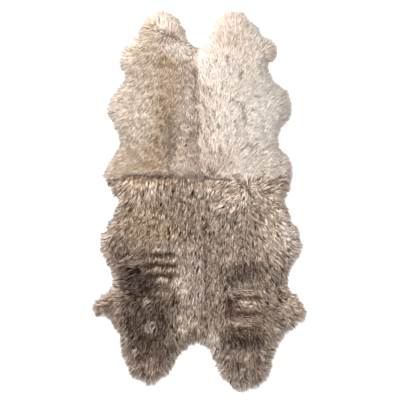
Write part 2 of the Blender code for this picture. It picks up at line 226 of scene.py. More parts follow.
def closed_slab(name, outline, inner, heights, base):
    """Closed mesh between a flat base and a top of the given heights over the same plan."""
    count = len(outline)
    plan = [Vector(place) for place in np.vstack([outline, inner])]
    ring = [(i, (i + 1) % count) for i in range(count)]
    places, _, triangles, origins, _, _ = delaunay_2d_cdt(plan, ring, [], INSIDE_ONLY, WELD_GAP)
    form = bmesh.new()
    tops = [form.verts.new((*place, heights[origin[0]])) for place, origin in zip(places, origins)]
    feet = [form.verts.new((*outline[i], base)) for i in range(count)]
    order = {origin[0]: tops[i] for i, origin in enumerate(origins)}
    for corners in triangles:
        form.faces.new([tops[i] for i in corners])
    for i, j in ring:
        form.faces.new((feet[i], feet[j], order[j], order[i]))
    under = delaunay_2d_cdt([Vector(place) for place in outline], ring, [], INSIDE_ONLY, WELD_GAP)
    for corners in under[2]:
        form.faces.new([feet[under[3][i][0]] for i in reversed(corners)])
    bmesh.ops.recalc_face_normals(form, faces=form.faces[:])
    bmesh.ops.triangulate(form, faces=form.faces[:])
    mesh = bpy.data.meshes.new(name)
    form.to_mesh(mesh)
    form.free()
    piece = bpy.data.objects.new(name, mesh)
    bpy.context.scene.collection.objects.link(piece)
    return piece


hides = {}
for skin, edge in edges.items():
    tops = np.full(len(edge), HIDE_FLOOR + HIDE_THICKNESS)
    hides[skin] = closed_slab("hide_" + skin, edge, np.empty((0, 2)), tops, HIDE_FLOOR)
    print("hide", skin, "area", round(shoelace(edge), 4), "size", np.ptp(edge, axis=0).round(3))

# %% [markdown]
# The undercoat is the dense, short down that fills a fleece below its locks. It is a closed lumpy body over
# a lattice of points a few millimetres apart. A remesh of the solid would give such a body too, but its rim
# would not follow the cut edge. These helpers set even points along an outline, give its outward
# directions, and tell how far places lie from a line and which of them lie inside it.

# %% Helpers for outlines
EDGE_PITCH = 0.006
CORNER_TURN = 38.0
BLOCK = 2000


def fine_edge(outline, pitch):
    """The same closed outline with points at about one pitch, and one on each sharp corner."""
    ends = np.roll(outline, -1, axis=0)
    lengths = np.linalg.norm(ends - outline, axis=1)
    along = np.concatenate([[0.0], np.cumsum(lengths)])
    marks = np.linspace(0.0, along[-1], int(along[-1] / pitch), endpoint=False)
    runs = (ends - outline) / lengths[:, None]
    sharp = np.sum(runs * np.roll(runs, 1, axis=0), axis=1) < math.cos(math.radians(CORNER_TURN))
    for corner in along[:-1][sharp]:
        marks[np.abs(marks - corner).argmin()] = corner
    marks = np.unique(marks)
    closed = np.vstack([outline, outline[:1]])
    return np.column_stack([np.interp(marks, along, closed[:, axis]) for axis in (0, 1)])


def outward(outline):
    """Unit directions pointing out of a counter-clockwise outline at its points."""
    run = np.roll(outline, -1, axis=0) - np.roll(outline, 1, axis=0)
    side = np.column_stack([run[:, 1], -run[:, 0]])
    return side / np.linalg.norm(side, axis=1)[:, None]


def distances(places, line):
    """Distance from each place to the nearest of a line's points, and that point's number."""
    far = np.empty(len(places))
    near = np.empty(len(places), dtype=int)
    for start in range(0, len(places), BLOCK):
        gaps = np.linalg.norm(places[start:start + BLOCK, None] - line[None], axis=2)
        near[start:start + BLOCK] = gaps.argmin(axis=1)
        far[start:start + BLOCK] = gaps.min(axis=1)
    return far, near


def inside(places, outline):
    """True for each place inside a closed outline."""
    hits = np.zeros(len(places), dtype=bool)
    for (x1, y1), (x2, y2) in zip(outline, np.roll(outline, -1, axis=0)):
        spans = (y1 > places[:, 1]) != (y2 > places[:, 1])
        slope = (x2 - x1) / (y2 - y1) if y2 != y1 else 0.0
        hits ^= spans & (places[:, 0] < x1 + slope * (places[:, 1] - y1))
    return hits


fine_edges = {skin: fine_edge(edge, EDGE_PITCH) for skin, edge in edges.items()}
print("even edge points", {skin: len(edge) for skin, edge in fine_edges.items()})

# %% [markdown]
# The undercoat's own edge is the cut edge drawn in by a few millimetres, so that the locks hide it. Along a
# seam it is drawn in less, because the wool of both skins closes over it. Points that are moved inward bunch
# and cross in tight corners, so those that come too near the cut edge are dropped, and small loops too.

# %% Drawn-in edge of each undercoat
EDGE_INSET = 0.004
SEAM_INSET = 0.0010
SEAM_REACH = 0.004
EDGE_CHECK = 0.001
INSET_SHARE = 0.93
LOOP_REACH = 9


def without_loops(outline):
    """The closed outline without the small loops where it crosses itself."""
    points = list(outline)
    place = 0
    while place < len(points):
        start, end = points[place], points[(place + 1) % len(points)]
        for step in range(2, LOOP_REACH):
            first, last = points[(place + step) % len(points)], points[(place + step + 1) % len(points)]
            turns = [np.cross(end - start, spot - start) for spot in (first, last)]
            backs = [np.cross(last - first, spot - first) for spot in (start, end)]
            if turns[0] * turns[1] < 0.0 and backs[0] * backs[1] < 0.0:
                drop = {(place + 1 + i) % len(points) for i in range(step)}
                points = [spot for i, spot in enumerate(points) if i not in drop]
                place = max(place - 2, -1)
                break
        place += 1
    return np.array(points)


def on_open_rim(skin):
    """True for the points of a skin's fine edge that border no other skin."""
    others = np.vstack([fine_edges[other] for other in SKINS if other != skin])
    return distances(fine_edges[skin], others)[0] > SEAM_REACH


def inner_edge(skin):
    """The cut edge drawn in a little, and less along the seams, without points bunched in corners."""
    inset = np.where(on_open_rim(skin), EDGE_INSET, SEAM_INSET)
    drawn = fine_edges[skin] - outward(fine_edges[skin]) * inset[:, None]
    clear = distances(drawn, fine_edge(edges[skin], EDGE_CHECK))[0] > INSET_SHARE * inset - EDGE_CHECK / 2.0
    return without_loops(drawn[clear])


fleece_edges = {skin: inner_edge(skin) for skin in SKINS}
print("drawn-in edge points", {skin: len(edge) for skin, edge in fleece_edges.items()})

# %% Lattice of points over each skin
LATTICE_PITCH = 0.0065
ROW_SHARE = math.sqrt(0.75)
EDGE_ROOM = 0.0045


def lattice(outline):
    """Points of an offset grid inside an outline, clear of its edge."""
    low, high = outline.min(axis=0), outline.max(axis=0)
    columns = np.arange(low[0], high[0], LATTICE_PITCH)
    rows = np.arange(low[1], high[1], LATTICE_PITCH * ROW_SHARE)
    shift = (np.arange(len(rows)) % 2)[:, None] * LATTICE_PITCH / 2.0
    grid = np.column_stack([(columns[None, :] + shift).ravel(), np.repeat(rows, len(columns))])
    grid = grid[inside(grid, outline)]
    return grid[distances(grid, outline)[0] > EDGE_ROOM]


lattices = {skin: lattice(edge) for skin, edge in fleece_edges.items()}
print("lattice points", {skin: len(points) for skin, points in lattices.items()})

# %% [markdown]
# Down stands lower than the locks that grow through it. Each point drops a ray on the solid to read the
# wool's height there, and the undercoat takes a share of it, with small lumps of its own. A scaled copy of
# the solid would be simpler, but its grooves and rim locks would then show twice.

# %% Wool height over each skin
FLEECE_BASE = HIDE_FLOOR + HIDE_THICKNESS
FLEECE_SHARE = 0.72
FLEECE_LUMP = 0.0022
LUMP_WAVELENGTH = 0.026
LUMP_FULL_RISE = 0.03
LUMP_SEED = 11
RAY_START = 0.2


def solid_heights(skin, places):
    """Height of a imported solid's top over each place in plan."""
    mesh = solid_of(skin)
    mesh.calc_loop_triangles()
    points = [vertex.co.copy() for vertex in mesh.vertices]
    solid = BVHTree.FromPolygons(points, [tuple(face.vertices) for face in mesh.loop_triangles])
    found = []
    for x, y in places:
        hit = solid.ray_cast(Vector((x, y, RAY_START)), Vector((0.0, 0.0, -1.0)))[0]
        found.append(hit.z if hit is not None else WALL_HEIGHT)
    return np.array(found)


fleece_tops = {}
for order, skin in enumerate(SKINS):
    plan = np.vstack([fleece_edges[skin], lattices[skin]])
    lumps = FLEECE_LUMP * ripple(plan, LUMP_WAVELENGTH, LUMP_SEED + order)
    rise = (solid_heights(skin, plan) - FLEECE_BASE) * FLEECE_SHARE
    fleece_tops[skin] = FLEECE_BASE + rise + lumps * np.clip(rise / LUMP_FULL_RISE, 0.0, 1.0)
    print(skin, "fleece height", fleece_tops[skin].min().round(4), "to", fleece_tops[skin].max().round(4))

# %% [markdown]
# Each undercoat is closed as the hides are. Its flat base lies a hair above the hide, because two faces in
# one plane would flicker.

# %% Undercoat bodies
BASE_GAP = 0.0001

undercoats = {}
for skin in SKINS:
    undercoats[skin] = closed_slab(
        "undercoat_" + skin, fleece_edges[skin], lattices[skin], fleece_tops[skin], FLEECE_BASE + BASE_GAP)
    print("undercoat", skin, "faces", len(undercoats[skin].data.polygons))

# %% [markdown]
# Wool has a nap: each lock leans the way it was combed and the way the fleece hangs. The combing table gives
# that heading as places in millimetres and the compass of the stroke in degrees, where 0 points right and 90
# points to the top of the rug. Drawn curves would do as well, but rows of numbers are quicker to write down
# from a picture and to mend one at a time.

# %% Combing of the four skins
MM = 0.001
COMBING = {
    "upper_left": (
        (-194, 874, 95), (-246, 846, 130), (-133, 855, 60), (-85, 798, 30), (-242, 798, 170),
        (-208, 827, 115), (-171, 817, 100), (-133, 798, 80), (-104, 774, 50), (-223, 784, 215),
        (-185, 774, 240), (-147, 751, 255), (-109, 732, 285), (-223, 722, 235), (-313, 746, 110),
        (-346, 713, 160), (-365, 656, 205), (-280, 666, 215), (-137, 689, 275), (-66, 703, 268),
        (-161, 637, 250), (-280, 571, 235), (-137, 561, 240), (-336, 523, 225), (-384, 457, 205),
        (-417, 405, 185), (-232, 429, 240), (-147, 419, 245), (-62, 457, 255), (-14, 609, 285),
        (-14, 523, 278), (-14, 419, 284), (-14, 334, 276), (-14, 239, 282), (-14, 154, 268),
        (-280, 334, 238), (-351, 287, 240), (-407, 324, 215), (-147, 287, 255), (-232, 239, 235),
        (-100, 192, 240), (-185, 154, 220), (-303, 168, 205), (-384, 216, 215), (-441, 168, 200),
        (-450, 116, 190), (-374, 107, 200),
    ),
    "upper_right": (
        (147, 883, 90), (80, 855, 118), (47, 789, 140), (223, 855, 62), (265, 798, 45),
        (109, 798, 106), (156, 798, 88), (213, 793, 62), (66, 746, 138), (128, 751, 100),
        (185, 746, 64), (242, 746, 50), (52, 699, 140), (118, 694, 96), (175, 694, 62),
        (298, 751, 38), (350, 722, 12), (365, 684, -10), (317, 656, 20), (242, 666, 45),
        (19, 656, 118), (14, 599, 116), (33, 523, 108), (24, 429, 102), (24, 334, 100),
        (24, 239, 106), (14, 154, 122), (80, 637, 92), (90, 571, 80), (156, 561, 62),
        (99, 476, 74), (166, 457, 58), (99, 381, 76), (175, 372, 56), (104, 296, 80),
        (185, 287, 54), (109, 220, 76), (194, 211, 52), (175, 154, 50), (242, 135, 42),
        (57, 154, 92), (109, 135, 62), (204, 618, 50), (251, 580, 48), (298, 571, 45),
        (223, 523, 50), (270, 504, 48), (327, 495, 42), (232, 438, 50), (289, 429, 46),
        (242, 362, 48), (298, 353, 44), (260, 287, 44), (317, 287, 40), (365, 239, 32),
        (279, 220, 42), (327, 192, 36), (374, 163, 20), (298, 163, 35), (346, 135, 10),
        (346, 571, 30), (403, 476, 18), (436, 391, 5), (422, 343, -5), (398, 296, 5),
        (403, 239, 15), (431, 192, 15), (445, 121, 5), (422, 59, -30),
    ),
    "lower_left": (
        (-351, 50, 235), (-407, 50, 200), (-232, 50, 265), (-185, 2, 268), (-66, 26, 262),
        (-19, -69, 270), (-161, -69, 262), (-280, -69, 250), (-384, -54, 215), (-431, -116, 225),
        (-464, -187, 215), (-450, -258, 245), (-384, -211, 255), (-303, -291, 200), (-185, -234, 255),
        (-185, -329, 255), (-66, -234, 268), (-14, -329, 270), (-114, -424, 258), (-232, -414, 225),
        (-351, -424, 185), (-407, -400, 200), (-469, -471, 200), (-493, -509, 195), (-431, -557, 235),
        (-384, -528, 250), (-280, -519, 255), (-161, -542, 262), (-43, -519, 268), (5, -613, 272),
        (-66, -590, 265), (-232, -637, 260), (-336, -637, 240), (-360, -718, 215), (-336, -793, 235),
        (-256, -827, 262), (-185, -860, 275), (-128, -812, 300), (-161, -732, 270), (-100, -708, 290),
        (-76, -661, 300), (-280, -732, 250),
    ),
    "lower_right": (
        (232, 88, 75), (289, 88, 52), (346, 83, 35), (403, 69, 10), (28, 2, 275),
        (123, 2, 225), (194, 45, 215), (251, 40, 300), (298, 2, 330), (279, -54, 315),
        (194, -69, 250), (313, -130, 300), (123, -116, 262), (62, -187, 270), (170, -211, 265),
        (265, -234, 290), (360, -187, 305), (407, -116, 320), (436, -187, 335), (450, -258, 320),
        (422, -320, 290), (346, -353, 300), (218, -339, 270), (123, -353, 262), (52, -400, 270),
        (194, -438, 350), (194, -495, 345), (204, -576, 345), (137, -495, 262), (298, -471, 320),
        (360, -424, 305), (384, -495, 335), (455, -509, 340), (478, -557, 330), (440, -604, 315),
        (360, -637, 310), (265, -637, 280), (109, -613, 262), (43, -613, 265), (62, -708, 262),
        (28, -684, 240), (80, -793, 235), (123, -874, 250), (208, -898, 270), (298, -850, 300),
        (336, -756, 320), (346, -699, 330), (194, -765, 270), (156, -708, 265), (265, -732, 285),
    ),
}

print("combing rows", {skin: len(rows) for skin, rows in COMBING.items()})

# %% [markdown]
# The heading at any place is a blend of the rows around it, nearer rows first. Near the open rim the wool
# turns outward, because nothing holds it there. A slow ripple then makes it wander, as combed wool does.

# %% Heading of the wool
COMB_REACH = 0.070
COMB_FALLOFF = 3.0
COMB_POWER = 4
COMB_WANDER = {"upper_left": 14.0, "upper_right": 11.0, "lower_left": 18.0, "lower_right": 20.0}
WANDER_WAVELENGTH = 0.055
RIM_TURN = 0.026
RIM_PULL = 1.6
TINY = 1e-9


def open_rim(skin):
    """Points of a skin's fine edge that border no other skin, with their outward directions."""
    free = on_open_rim(skin)
    return fine_edges[skin][free], outward(fine_edges[skin])[free]


def nap(skin, places, seed):
    """Unit headings in plan, how far each place is from the open rim and how well the rows agree there."""
    rows = np.array(COMBING[skin], dtype=float)
    centres = rows[:, :2] * MM
    strokes = np.radians(rows[:, 2])
    gaps = np.linalg.norm(places[:, None] - centres[None], axis=2)
    weights = 1.0 / (1.0 + (gaps / COMB_REACH * COMB_FALLOFF) ** COMB_POWER)
    heading = np.column_stack([weights @ np.cos(strokes), weights @ np.sin(strokes)])
    agreed = np.linalg.norm(heading, axis=1) / weights.sum(axis=1)
    heading /= np.linalg.norm(heading, axis=1)[:, None] + TINY
    rim, away = open_rim(skin)
    room, near = distances(places, rim)
    turn = np.clip(1.0 - room / RIM_TURN, 0.0, 1.0)[:, None] * RIM_PULL
    heading += away[near] * turn
    angle = np.arctan2(heading[:, 1], heading[:, 0])
    angle += np.radians(COMB_WANDER[skin]) * ripple(places, WANDER_WAVELENGTH, seed)
    return np.column_stack([np.cos(angle), np.sin(angle)]), room, agreed


print("open rim points", {skin: len(open_rim(skin)[0]) for skin in SKINS})

# %% [markdown]
# The colour of a natural fleece drifts from ivory to dark umber. Each skin has a ground colour, and patches
# of other wool colours lie over it. All of them are given here as a screen shows them, from 0 to 255, and
# turned into the scene's own linear colours, since light adds up correctly only in those.

# %% Wool colours
WOOL = {
    "white": (248, 240, 232),
    "ivory": (238, 227, 217),
    "cream": (228, 215, 203),
    "oat": (212, 196, 180),
    "sand": (200, 180, 160),
    "rust": (182, 154, 126),
    "olive": (178, 157, 126),
    "fawn": (184, 162, 138),
    "ash": (194, 178, 167),
    "greige": (178, 160, 147),
    "taupe": (156, 137, 124),
    "umber": (132, 112, 99),
    "cocoa": (98, 77, 64),
    "soot": (72, 52, 42),
}
GROUND = {
    "upper_left": (202, 184, 167),
    "upper_right": (222, 210, 201),
    "lower_left": (164, 145, 130),
    "lower_right": (168, 150, 136),
}
SCREEN_FULL = 255.0
CURVE_START, CURVE_SLOPE, CURVE_SHIFT, CURVE_POWER = 0.04045, 12.92, 0.055, 2.4


def linear_colour(colour):
    """Scene-linear colour of a screen colour given from 0 to 255, by the screen's usual curve."""
    shares = np.asarray(colour, dtype=float) / SCREEN_FULL
    curved = ((shares + CURVE_SHIFT) / (1.0 + CURVE_SHIFT)) ** CURVE_POWER
    return np.where(shares <= CURVE_START, shares / CURVE_SLOPE, curved)


print("wool colours", len(WOOL), "ground of", sorted(GROUND))

# %% [markdown]
# Each patch is listed as a soft ellipse: its middle and half sizes in millimetres, a turn in degrees, a wool
# colour and a strength. A painted picture could hold them too, but a table has no pixels and anyone can
# change it. The small tufts colour whole locks, so that they read as curls.

# %% Patches of tone
PATCHES = (
    # Upper left skin
    ("lobe_rim", -194, 836, 104, 76, 0, "cream", 0.7),
    ("lobe_heart", -166, 846, 43, 33, 0, "ivory", 0.9),
    ("lobe_top", -194, 888, 85, 24, 0, "sand", 0.8),
    ("lobe_shoulder", -237, 850, 28, 43, -30, "sand", 0.8),
    ("lobe_left", -242, 765, 38, 24, -20, "sand", 0.4),
    ("lobe_west", -251, 827, 33, 66, 10, "sand", 0.7),
    ("lobe_fold", -123, 765, 38, 19, -25, "taupe", 0.12),
    ("ear_pale", -308, 732, 38, 24, 0, "ivory", 0.6),
    # Painted shade: a band of shade by the ear.
    ("ear_shade_band", -261, 694, 81, 19, -5, "sand", 0.7),
    ("ear_rim", -355, 656, 38, 57, 0, "ivory", 0.6),
    ("white_tufts", -90, 708, 57, 28, -20, "white", 1.0),
    ("notch_rim", -71, 756, 24, 52, 35, "ivory", 0.9),
    ("olive_patch", -161, 647, 43, 28, 0, "olive", 0.9),
    ("tan_column", -142, 533, 57, 142, 0, "fawn", 0.75),
    ("tan_low", -161, 310, 62, 133, 0, "fawn", 0.75),
    ("tan_heart", -171, 419, 38, 81, 0, "rust", 0.35),
    ("brown_spots", -185, 249, 71, 57, 0, "fawn", 0.8),
    ("low_tan", -251, 178, 95, 43, 0, "fawn", 0.5),
    ("spine_shade", -133, 287, 33, 123, 0, "taupe", 0.8),
    ("pale_flank", -327, 429, 95, 161, 10, "cream", 0.5),
    ("rim_flank", -412, 410, 33, 95, 0, "cream", 0.7),
    ("strip", -43, 514, 43, 152, 0, "greige", 0.8),
    ("strip_low", -28, 239, 38, 104, 0, "greige", 0.8),
    ("curl_bed", -52, 462, 19, 66, -4, "cream", 0.4),
    ("tuft_row", -100, 168, 33, 24, 0, "cream", 0.7),
    ("rust_band", -242, 159, 71, 24, 0, "rust", 0.75),
    ("hip", -407, 178, 66, 62, 0, "sand", 0.7),
    # Upper right skin
    ("lobe_rim", 147, 846, 118, 85, 0, "oat", 0.6),
    ("lobe_top", 147, 888, 81, 24, 0, "oat", 0.6),
    ("lobe_side", 76, 836, 38, 71, -20, "sand", 0.5),
    ("lobe_marks", 137, 756, 95, 38, 0, "sand", 0.62),
    ("white_tufts", 33, 680, 66, 28, 0, "ivory", 0.6),
    ("under_lobe", 128, 699, 66, 24, 0, "cream", 0.6),
    ("ear", 317, 713, 66, 47, 0, "cream", 0.75),
    ("ear_tip", 355, 708, 17, 28, 0, "oat", 0.6),
    ("seam_strip", 33, 381, 38, 208, 0, "greige", 0.65),
    ("seam_whites", 28, 618, 28, 76, 10, "ivory", 0.4),
    ("soft_mark", 80, 656, 19, 19, 0, "greige", 0.6),
    ("olive_mark", 194, 580, 24, 28, 0, "olive", 0.6),
    ("heart", 156, 476, 95, 161, 0, "ivory", 0.7),
    ("right_flank", 317, 419, 95, 171, 0, "white", 0.9),
    ("low", 71, 182, 85, 66, 0, "greige", 0.8),
    ("hip", 336, 163, 104, 62, 10, "cream", 0.5),
    ("pink_rim", 417, 405, 33, 85, 0, "white", 0.6),
    # Painted shadow along both sides of the seam across the rug
    ("cross_shade", 19, 114, 66, 14, 0, "taupe", 0.6),
    ("cross_shade", -232, 118, 123, 12, 0, "taupe", 0.6),
    ("cross_shade", -242, 107, 114, 14, 0, "umber", 0.7),
    # Lower left skin
    ("top", -270, 50, 180, 62, 0, "sand", 0.95),
    ("top_grey", -128, 50, 76, 47, 0, "greige", 0.7),
    ("top_tuft", -232, 54, 43, 28, 0, "oat", 0.6),
    ("pale_tuft", -161, -64, 28, 24, 0, "oat", 0.7),
    ("middle", -232, -121, 161, 95, 0, "fawn", 0.7),
    ("belly_rim", -450, -187, 38, 104, 0, "oat", 0.7),
    ("belly", -351, -263, 85, 85, 0, "umber", 0.6),
    ("rib_bed", -171, -320, 81, 95, 0, "cocoa", 1.0),
    ("dark_flank", -289, -381, 104, 81, -10, "soot", 1.0),
    ("dark_waist", -232, -481, 161, 43, 0, "cocoa", 0.8),
    ("leg", -460, -486, 52, 43, 0, "taupe", 0.5),
    ("leg_root", -384, -528, 24, 66, 0, "greige", 0.6),
    ("dark_low", -242, -576, 128, 81, 0, "soot", 0.85),
    ("low", -232, -689, 114, 66, 0, "cocoa", 0.95),
    ("end", -232, -798, 128, 62, 0, "taupe", 0.4),
    ("neck_shade", -261, -514, 24, 24, 0, "cocoa", 0.55),
    ("neck_hollow", -171, -571, 28, 28, 0, "cocoa", 0.7),
    ("neck_fold", -218, -689, 33, 19, 0, "cocoa", 0.6),
    ("neck_mark", -280, -737, 38, 14, 0, "cocoa", 0.65),
    ("end_mark", -265, -808, 19, 28, 0, "cocoa", 0.55),
    ("end_side", -166, -760, 19, 19, 0, "cocoa", 0.6),
    ("end_tips", -232, -855, 114, 28, 0, "greige", 0.8),
    ("centre_strip", -28, -414, 66, 189, 0, "ash", 0.85),
    ("strip_pale", -90, -391, 43, 43, 0, "cream", 0.7),
    ("strip_low", -57, -576, 57, 71, 0, "oat", 0.8),
    ("strip_gaps", -19, -651, 52, 19, 0, "taupe", 0.5),
    ("rib_one", -166, -232, 57, 14, 2, "oat", 0.8),
    ("rib_one_end", -95, -232, 33, 16, 0, "oat", 0.9),
    ("rib_two", -180, -279, 62, 12, 0, "oat", 0.85),
    ("rib_two_end", -100, -287, 28, 14, -6, "cream", 0.75),
    ("rib_three", -199, -332, 52, 11, 0, "sand", 0.9),
    ("rib_three_end", -118, -329, 38, 10, 3, "oat", 0.8),
    ("rib_four", -171, -374, 24, 16, 0, "oat", 0.85),
    ("rib_five", -175, -410, 14, 12, 0, "greige", 0.9),
    # Lower right skin
    ("top", 204, 31, 227, 76, 0, "oat", 0.75),
    ("top_pale", 137, -21, 104, 24, 5, "cream", 0.7),
    ("middle", 170, -159, 142, 95, 0, "greige", 0.7),
    ("right", 355, -149, 66, 142, 0, "oat", 0.9),
    ("flank_strip", 436, -187, 38, 128, 10, "ivory", 0.9),
    ("mid_low", 223, -258, 142, 43, 0, "greige", 0.7),
    ("dark_patch", 208, -339, 104, 47, 10, "cocoa", 0.82),
    ("right_low", 365, -400, 66, 71, 0, "taupe", 0.8),
    ("rib_bed", 227, -509, 114, 85, 0, "umber", 0.8),
    ("dark_core", 147, -495, 28, 52, 0, "cocoa", 0.8),
    ("dark_low", 204, -656, 109, 52, 0, "soot", 0.85),
    ("leg", 455, -519, 66, 71, 0, "oat", 0.75),
    ("neck_low", 218, -803, 128, 81, 0, "taupe", 0.45),
    ("neck_shade", 152, -632, 28, 28, 0, "cocoa", 0.55),
    ("neck_hollow", 227, -666, 33, 24, 0, "cocoa", 0.5),
    ("end_mark", 175, -774, 33, 28, 0, "cocoa", 0.6),
    ("end_side", 279, -751, 14, 24, 0, "cocoa", 0.55),
    ("end_spot", 279, -812, 14, 14, 0, "cocoa", 0.5),
    ("inner_neck", 66, -684, 38, 85, 0, "cream", 0.7),
    ("end_tips", 218, -888, 118, 28, 0, "ash", 0.7),
    ("rib_one", 232, -433, 62, 11, -3, "sand", 0.9),
    ("rib_two", 246, -490, 62, 15, -3, "sand", 0.9),
    ("rib_three", 199, -576, 62, 11, -4, "sand", 0.9),
)
TUFTS = (
    ("curl_one", -57, 516, 12, 14, 0, "ivory", 1.0),
    ("curl_two", -40, 490, 10, 13, 0, "ivory", 1.0),
    ("curl_three", -55, 464, 10, 13, 0, "ivory", 1.0),
    ("curl_four", -38, 438, 11, 13, 0, "ivory", 1.0),
    ("curl_five", -52, 412, 11, 13, 0, "ivory", 1.0),
    ("curl_six", -38, 386, 10, 12, 0, "ivory", 1.0),
    ("tuft_end", -52, 187, 19, 19, 0, "cream", 0.7),
    ("tuft_band", -100, 713, 52, 24, -15, "ivory", 1.0),
    ("tuft_band_end", -38, 684, 28, 19, 0, "ivory", 0.9),
    ("spot_leg", -246, -476, 19, 19, 0, "greige", 0.9),
    ("spot_low", -232, -599, 28, 28, 0, "ash", 0.75),
    ("spot_end", -303, -713, 19, 14, 0, "greige", 0.9),
    ("pale_spot", 298, -263, 24, 24, 0, "sand", 0.5),
)
print("patches", len(PATCHES), "tufts", len(TUFTS))

# %% [markdown]
# The colour of one place starts from its skin's ground, blended a little over the seams where the wool of
# both skins mixes. Each patch is laid over it with a ragged, soft edge, and small clouds make the result
# lighter and darker. It is held below full white, because wool never returns all the light.

# %% Colour of the wool at any place
FIBRE_GAIN = 1.30
FIBRE_LIMIT = 0.90
SEAM_UPPER, SEAM_LOWER, SEAM_CROSS = 0.0, 0.030, 0.109
GROUND_BLEND = 0.030
MOTTLES = ((0.5, 0.055), (0.55, 0.026))
MOTTLE_UPPER, MOTTLE_LOWER = 0.06, 0.30
MOTTLE_SEED = 61
PATCH_RAGGED = ((0.008, 0.060), (0.004, 0.019))
PATCH_SOFT = (0.62, 1.32)
SEEDS_PER_METRE = 1000


def smooth_step(values, low, high):
    """0 at low, 1 at high, with soft ends."""
    share = np.clip((values - low) / (high - low), 0.0, 1.0)
    return share * share * (3.0 - 2.0 * share)


def within_limit(colours):
    """Colours scaled down where their strongest channel passes the limit."""
    return colours / np.maximum(colours.max(axis=1) / FIBRE_LIMIT, 1.0)[:, None]


def ground_colours(places):
    """Ground colour at each place, blended a little over the seams."""
    x, y = places[:, 0], places[:, 1]
    tints = {skin: linear_colour(GROUND[skin]) * FIBRE_GAIN for skin in SKINS}
    right = smooth_step(x, SEAM_UPPER - GROUND_BLEND, SEAM_UPPER + GROUND_BLEND)[:, None]
    upper = tints["upper_left"] + (tints["upper_right"] - tints["upper_left"]) * right
    right = smooth_step(x, SEAM_LOWER - GROUND_BLEND, SEAM_LOWER + GROUND_BLEND)[:, None]
    lower = tints["lower_left"] + (tints["lower_right"] - tints["lower_left"]) * right
    high = smooth_step(y, SEAM_CROSS - GROUND_BLEND, SEAM_CROSS + GROUND_BLEND / 2.0)[:, None]
    return lower + (upper - lower) * high


def mottled(colours, places):
    """The colours made lighter and darker in small clouds, more so in the darker lower skins."""
    clouds = sum(size * ripple(places, wavelength, MOTTLE_SEED) for size, wavelength in MOTTLES)
    high = smooth_step(places[:, 1], SEAM_CROSS - GROUND_BLEND, SEAM_CROSS + GROUND_BLEND)
    depth = MOTTLE_LOWER + (MOTTLE_UPPER - MOTTLE_LOWER) * high
    return colours * (1.0 + depth * clouds)[:, None]


def add_patches(colours, places, patches):
    """Colours at the places after each soft elliptical patch is laid over them."""
    for _, x, y, long, wide, turn, wool, strength in patches:
        offset = places - np.array((x, y)) * MM
        a = math.radians(turn)
        across = np.column_stack([offset @ (math.cos(a), math.sin(a)), offset @ (-math.sin(a), math.cos(a))])
        far = np.linalg.norm(across / (np.array((long, wide)) * MM), axis=1)
        share = strength * (1.0 - smooth_step(far, *PATCH_SOFT))
        colours = colours + (linear_colour(WOOL[wool]) * FIBRE_GAIN - colours) * share[:, None]
    return colours


def wool_colours(places, patches):
    """Colour of the wool at each place, from the ground colour and ragged patches."""
    ragged = places.copy()
    for size, wavelength in PATCH_RAGGED:
        seed = int(wavelength * SEEDS_PER_METRE)
        ragged[:, 0] += size * ripple(places, wavelength, seed)
        ragged[:, 1] += size * ripple(places, wavelength, seed + 1)
    return within_limit(mottled(add_patches(ground_colours(places), ragged, patches), places))


sample = np.array(((-0.2, 0.4), (0.2, 0.4), (-0.2, -0.4), (0.2, -0.4)))
print("wool colours at four places", wool_colours(sample, PATCHES).round(2).tolist())
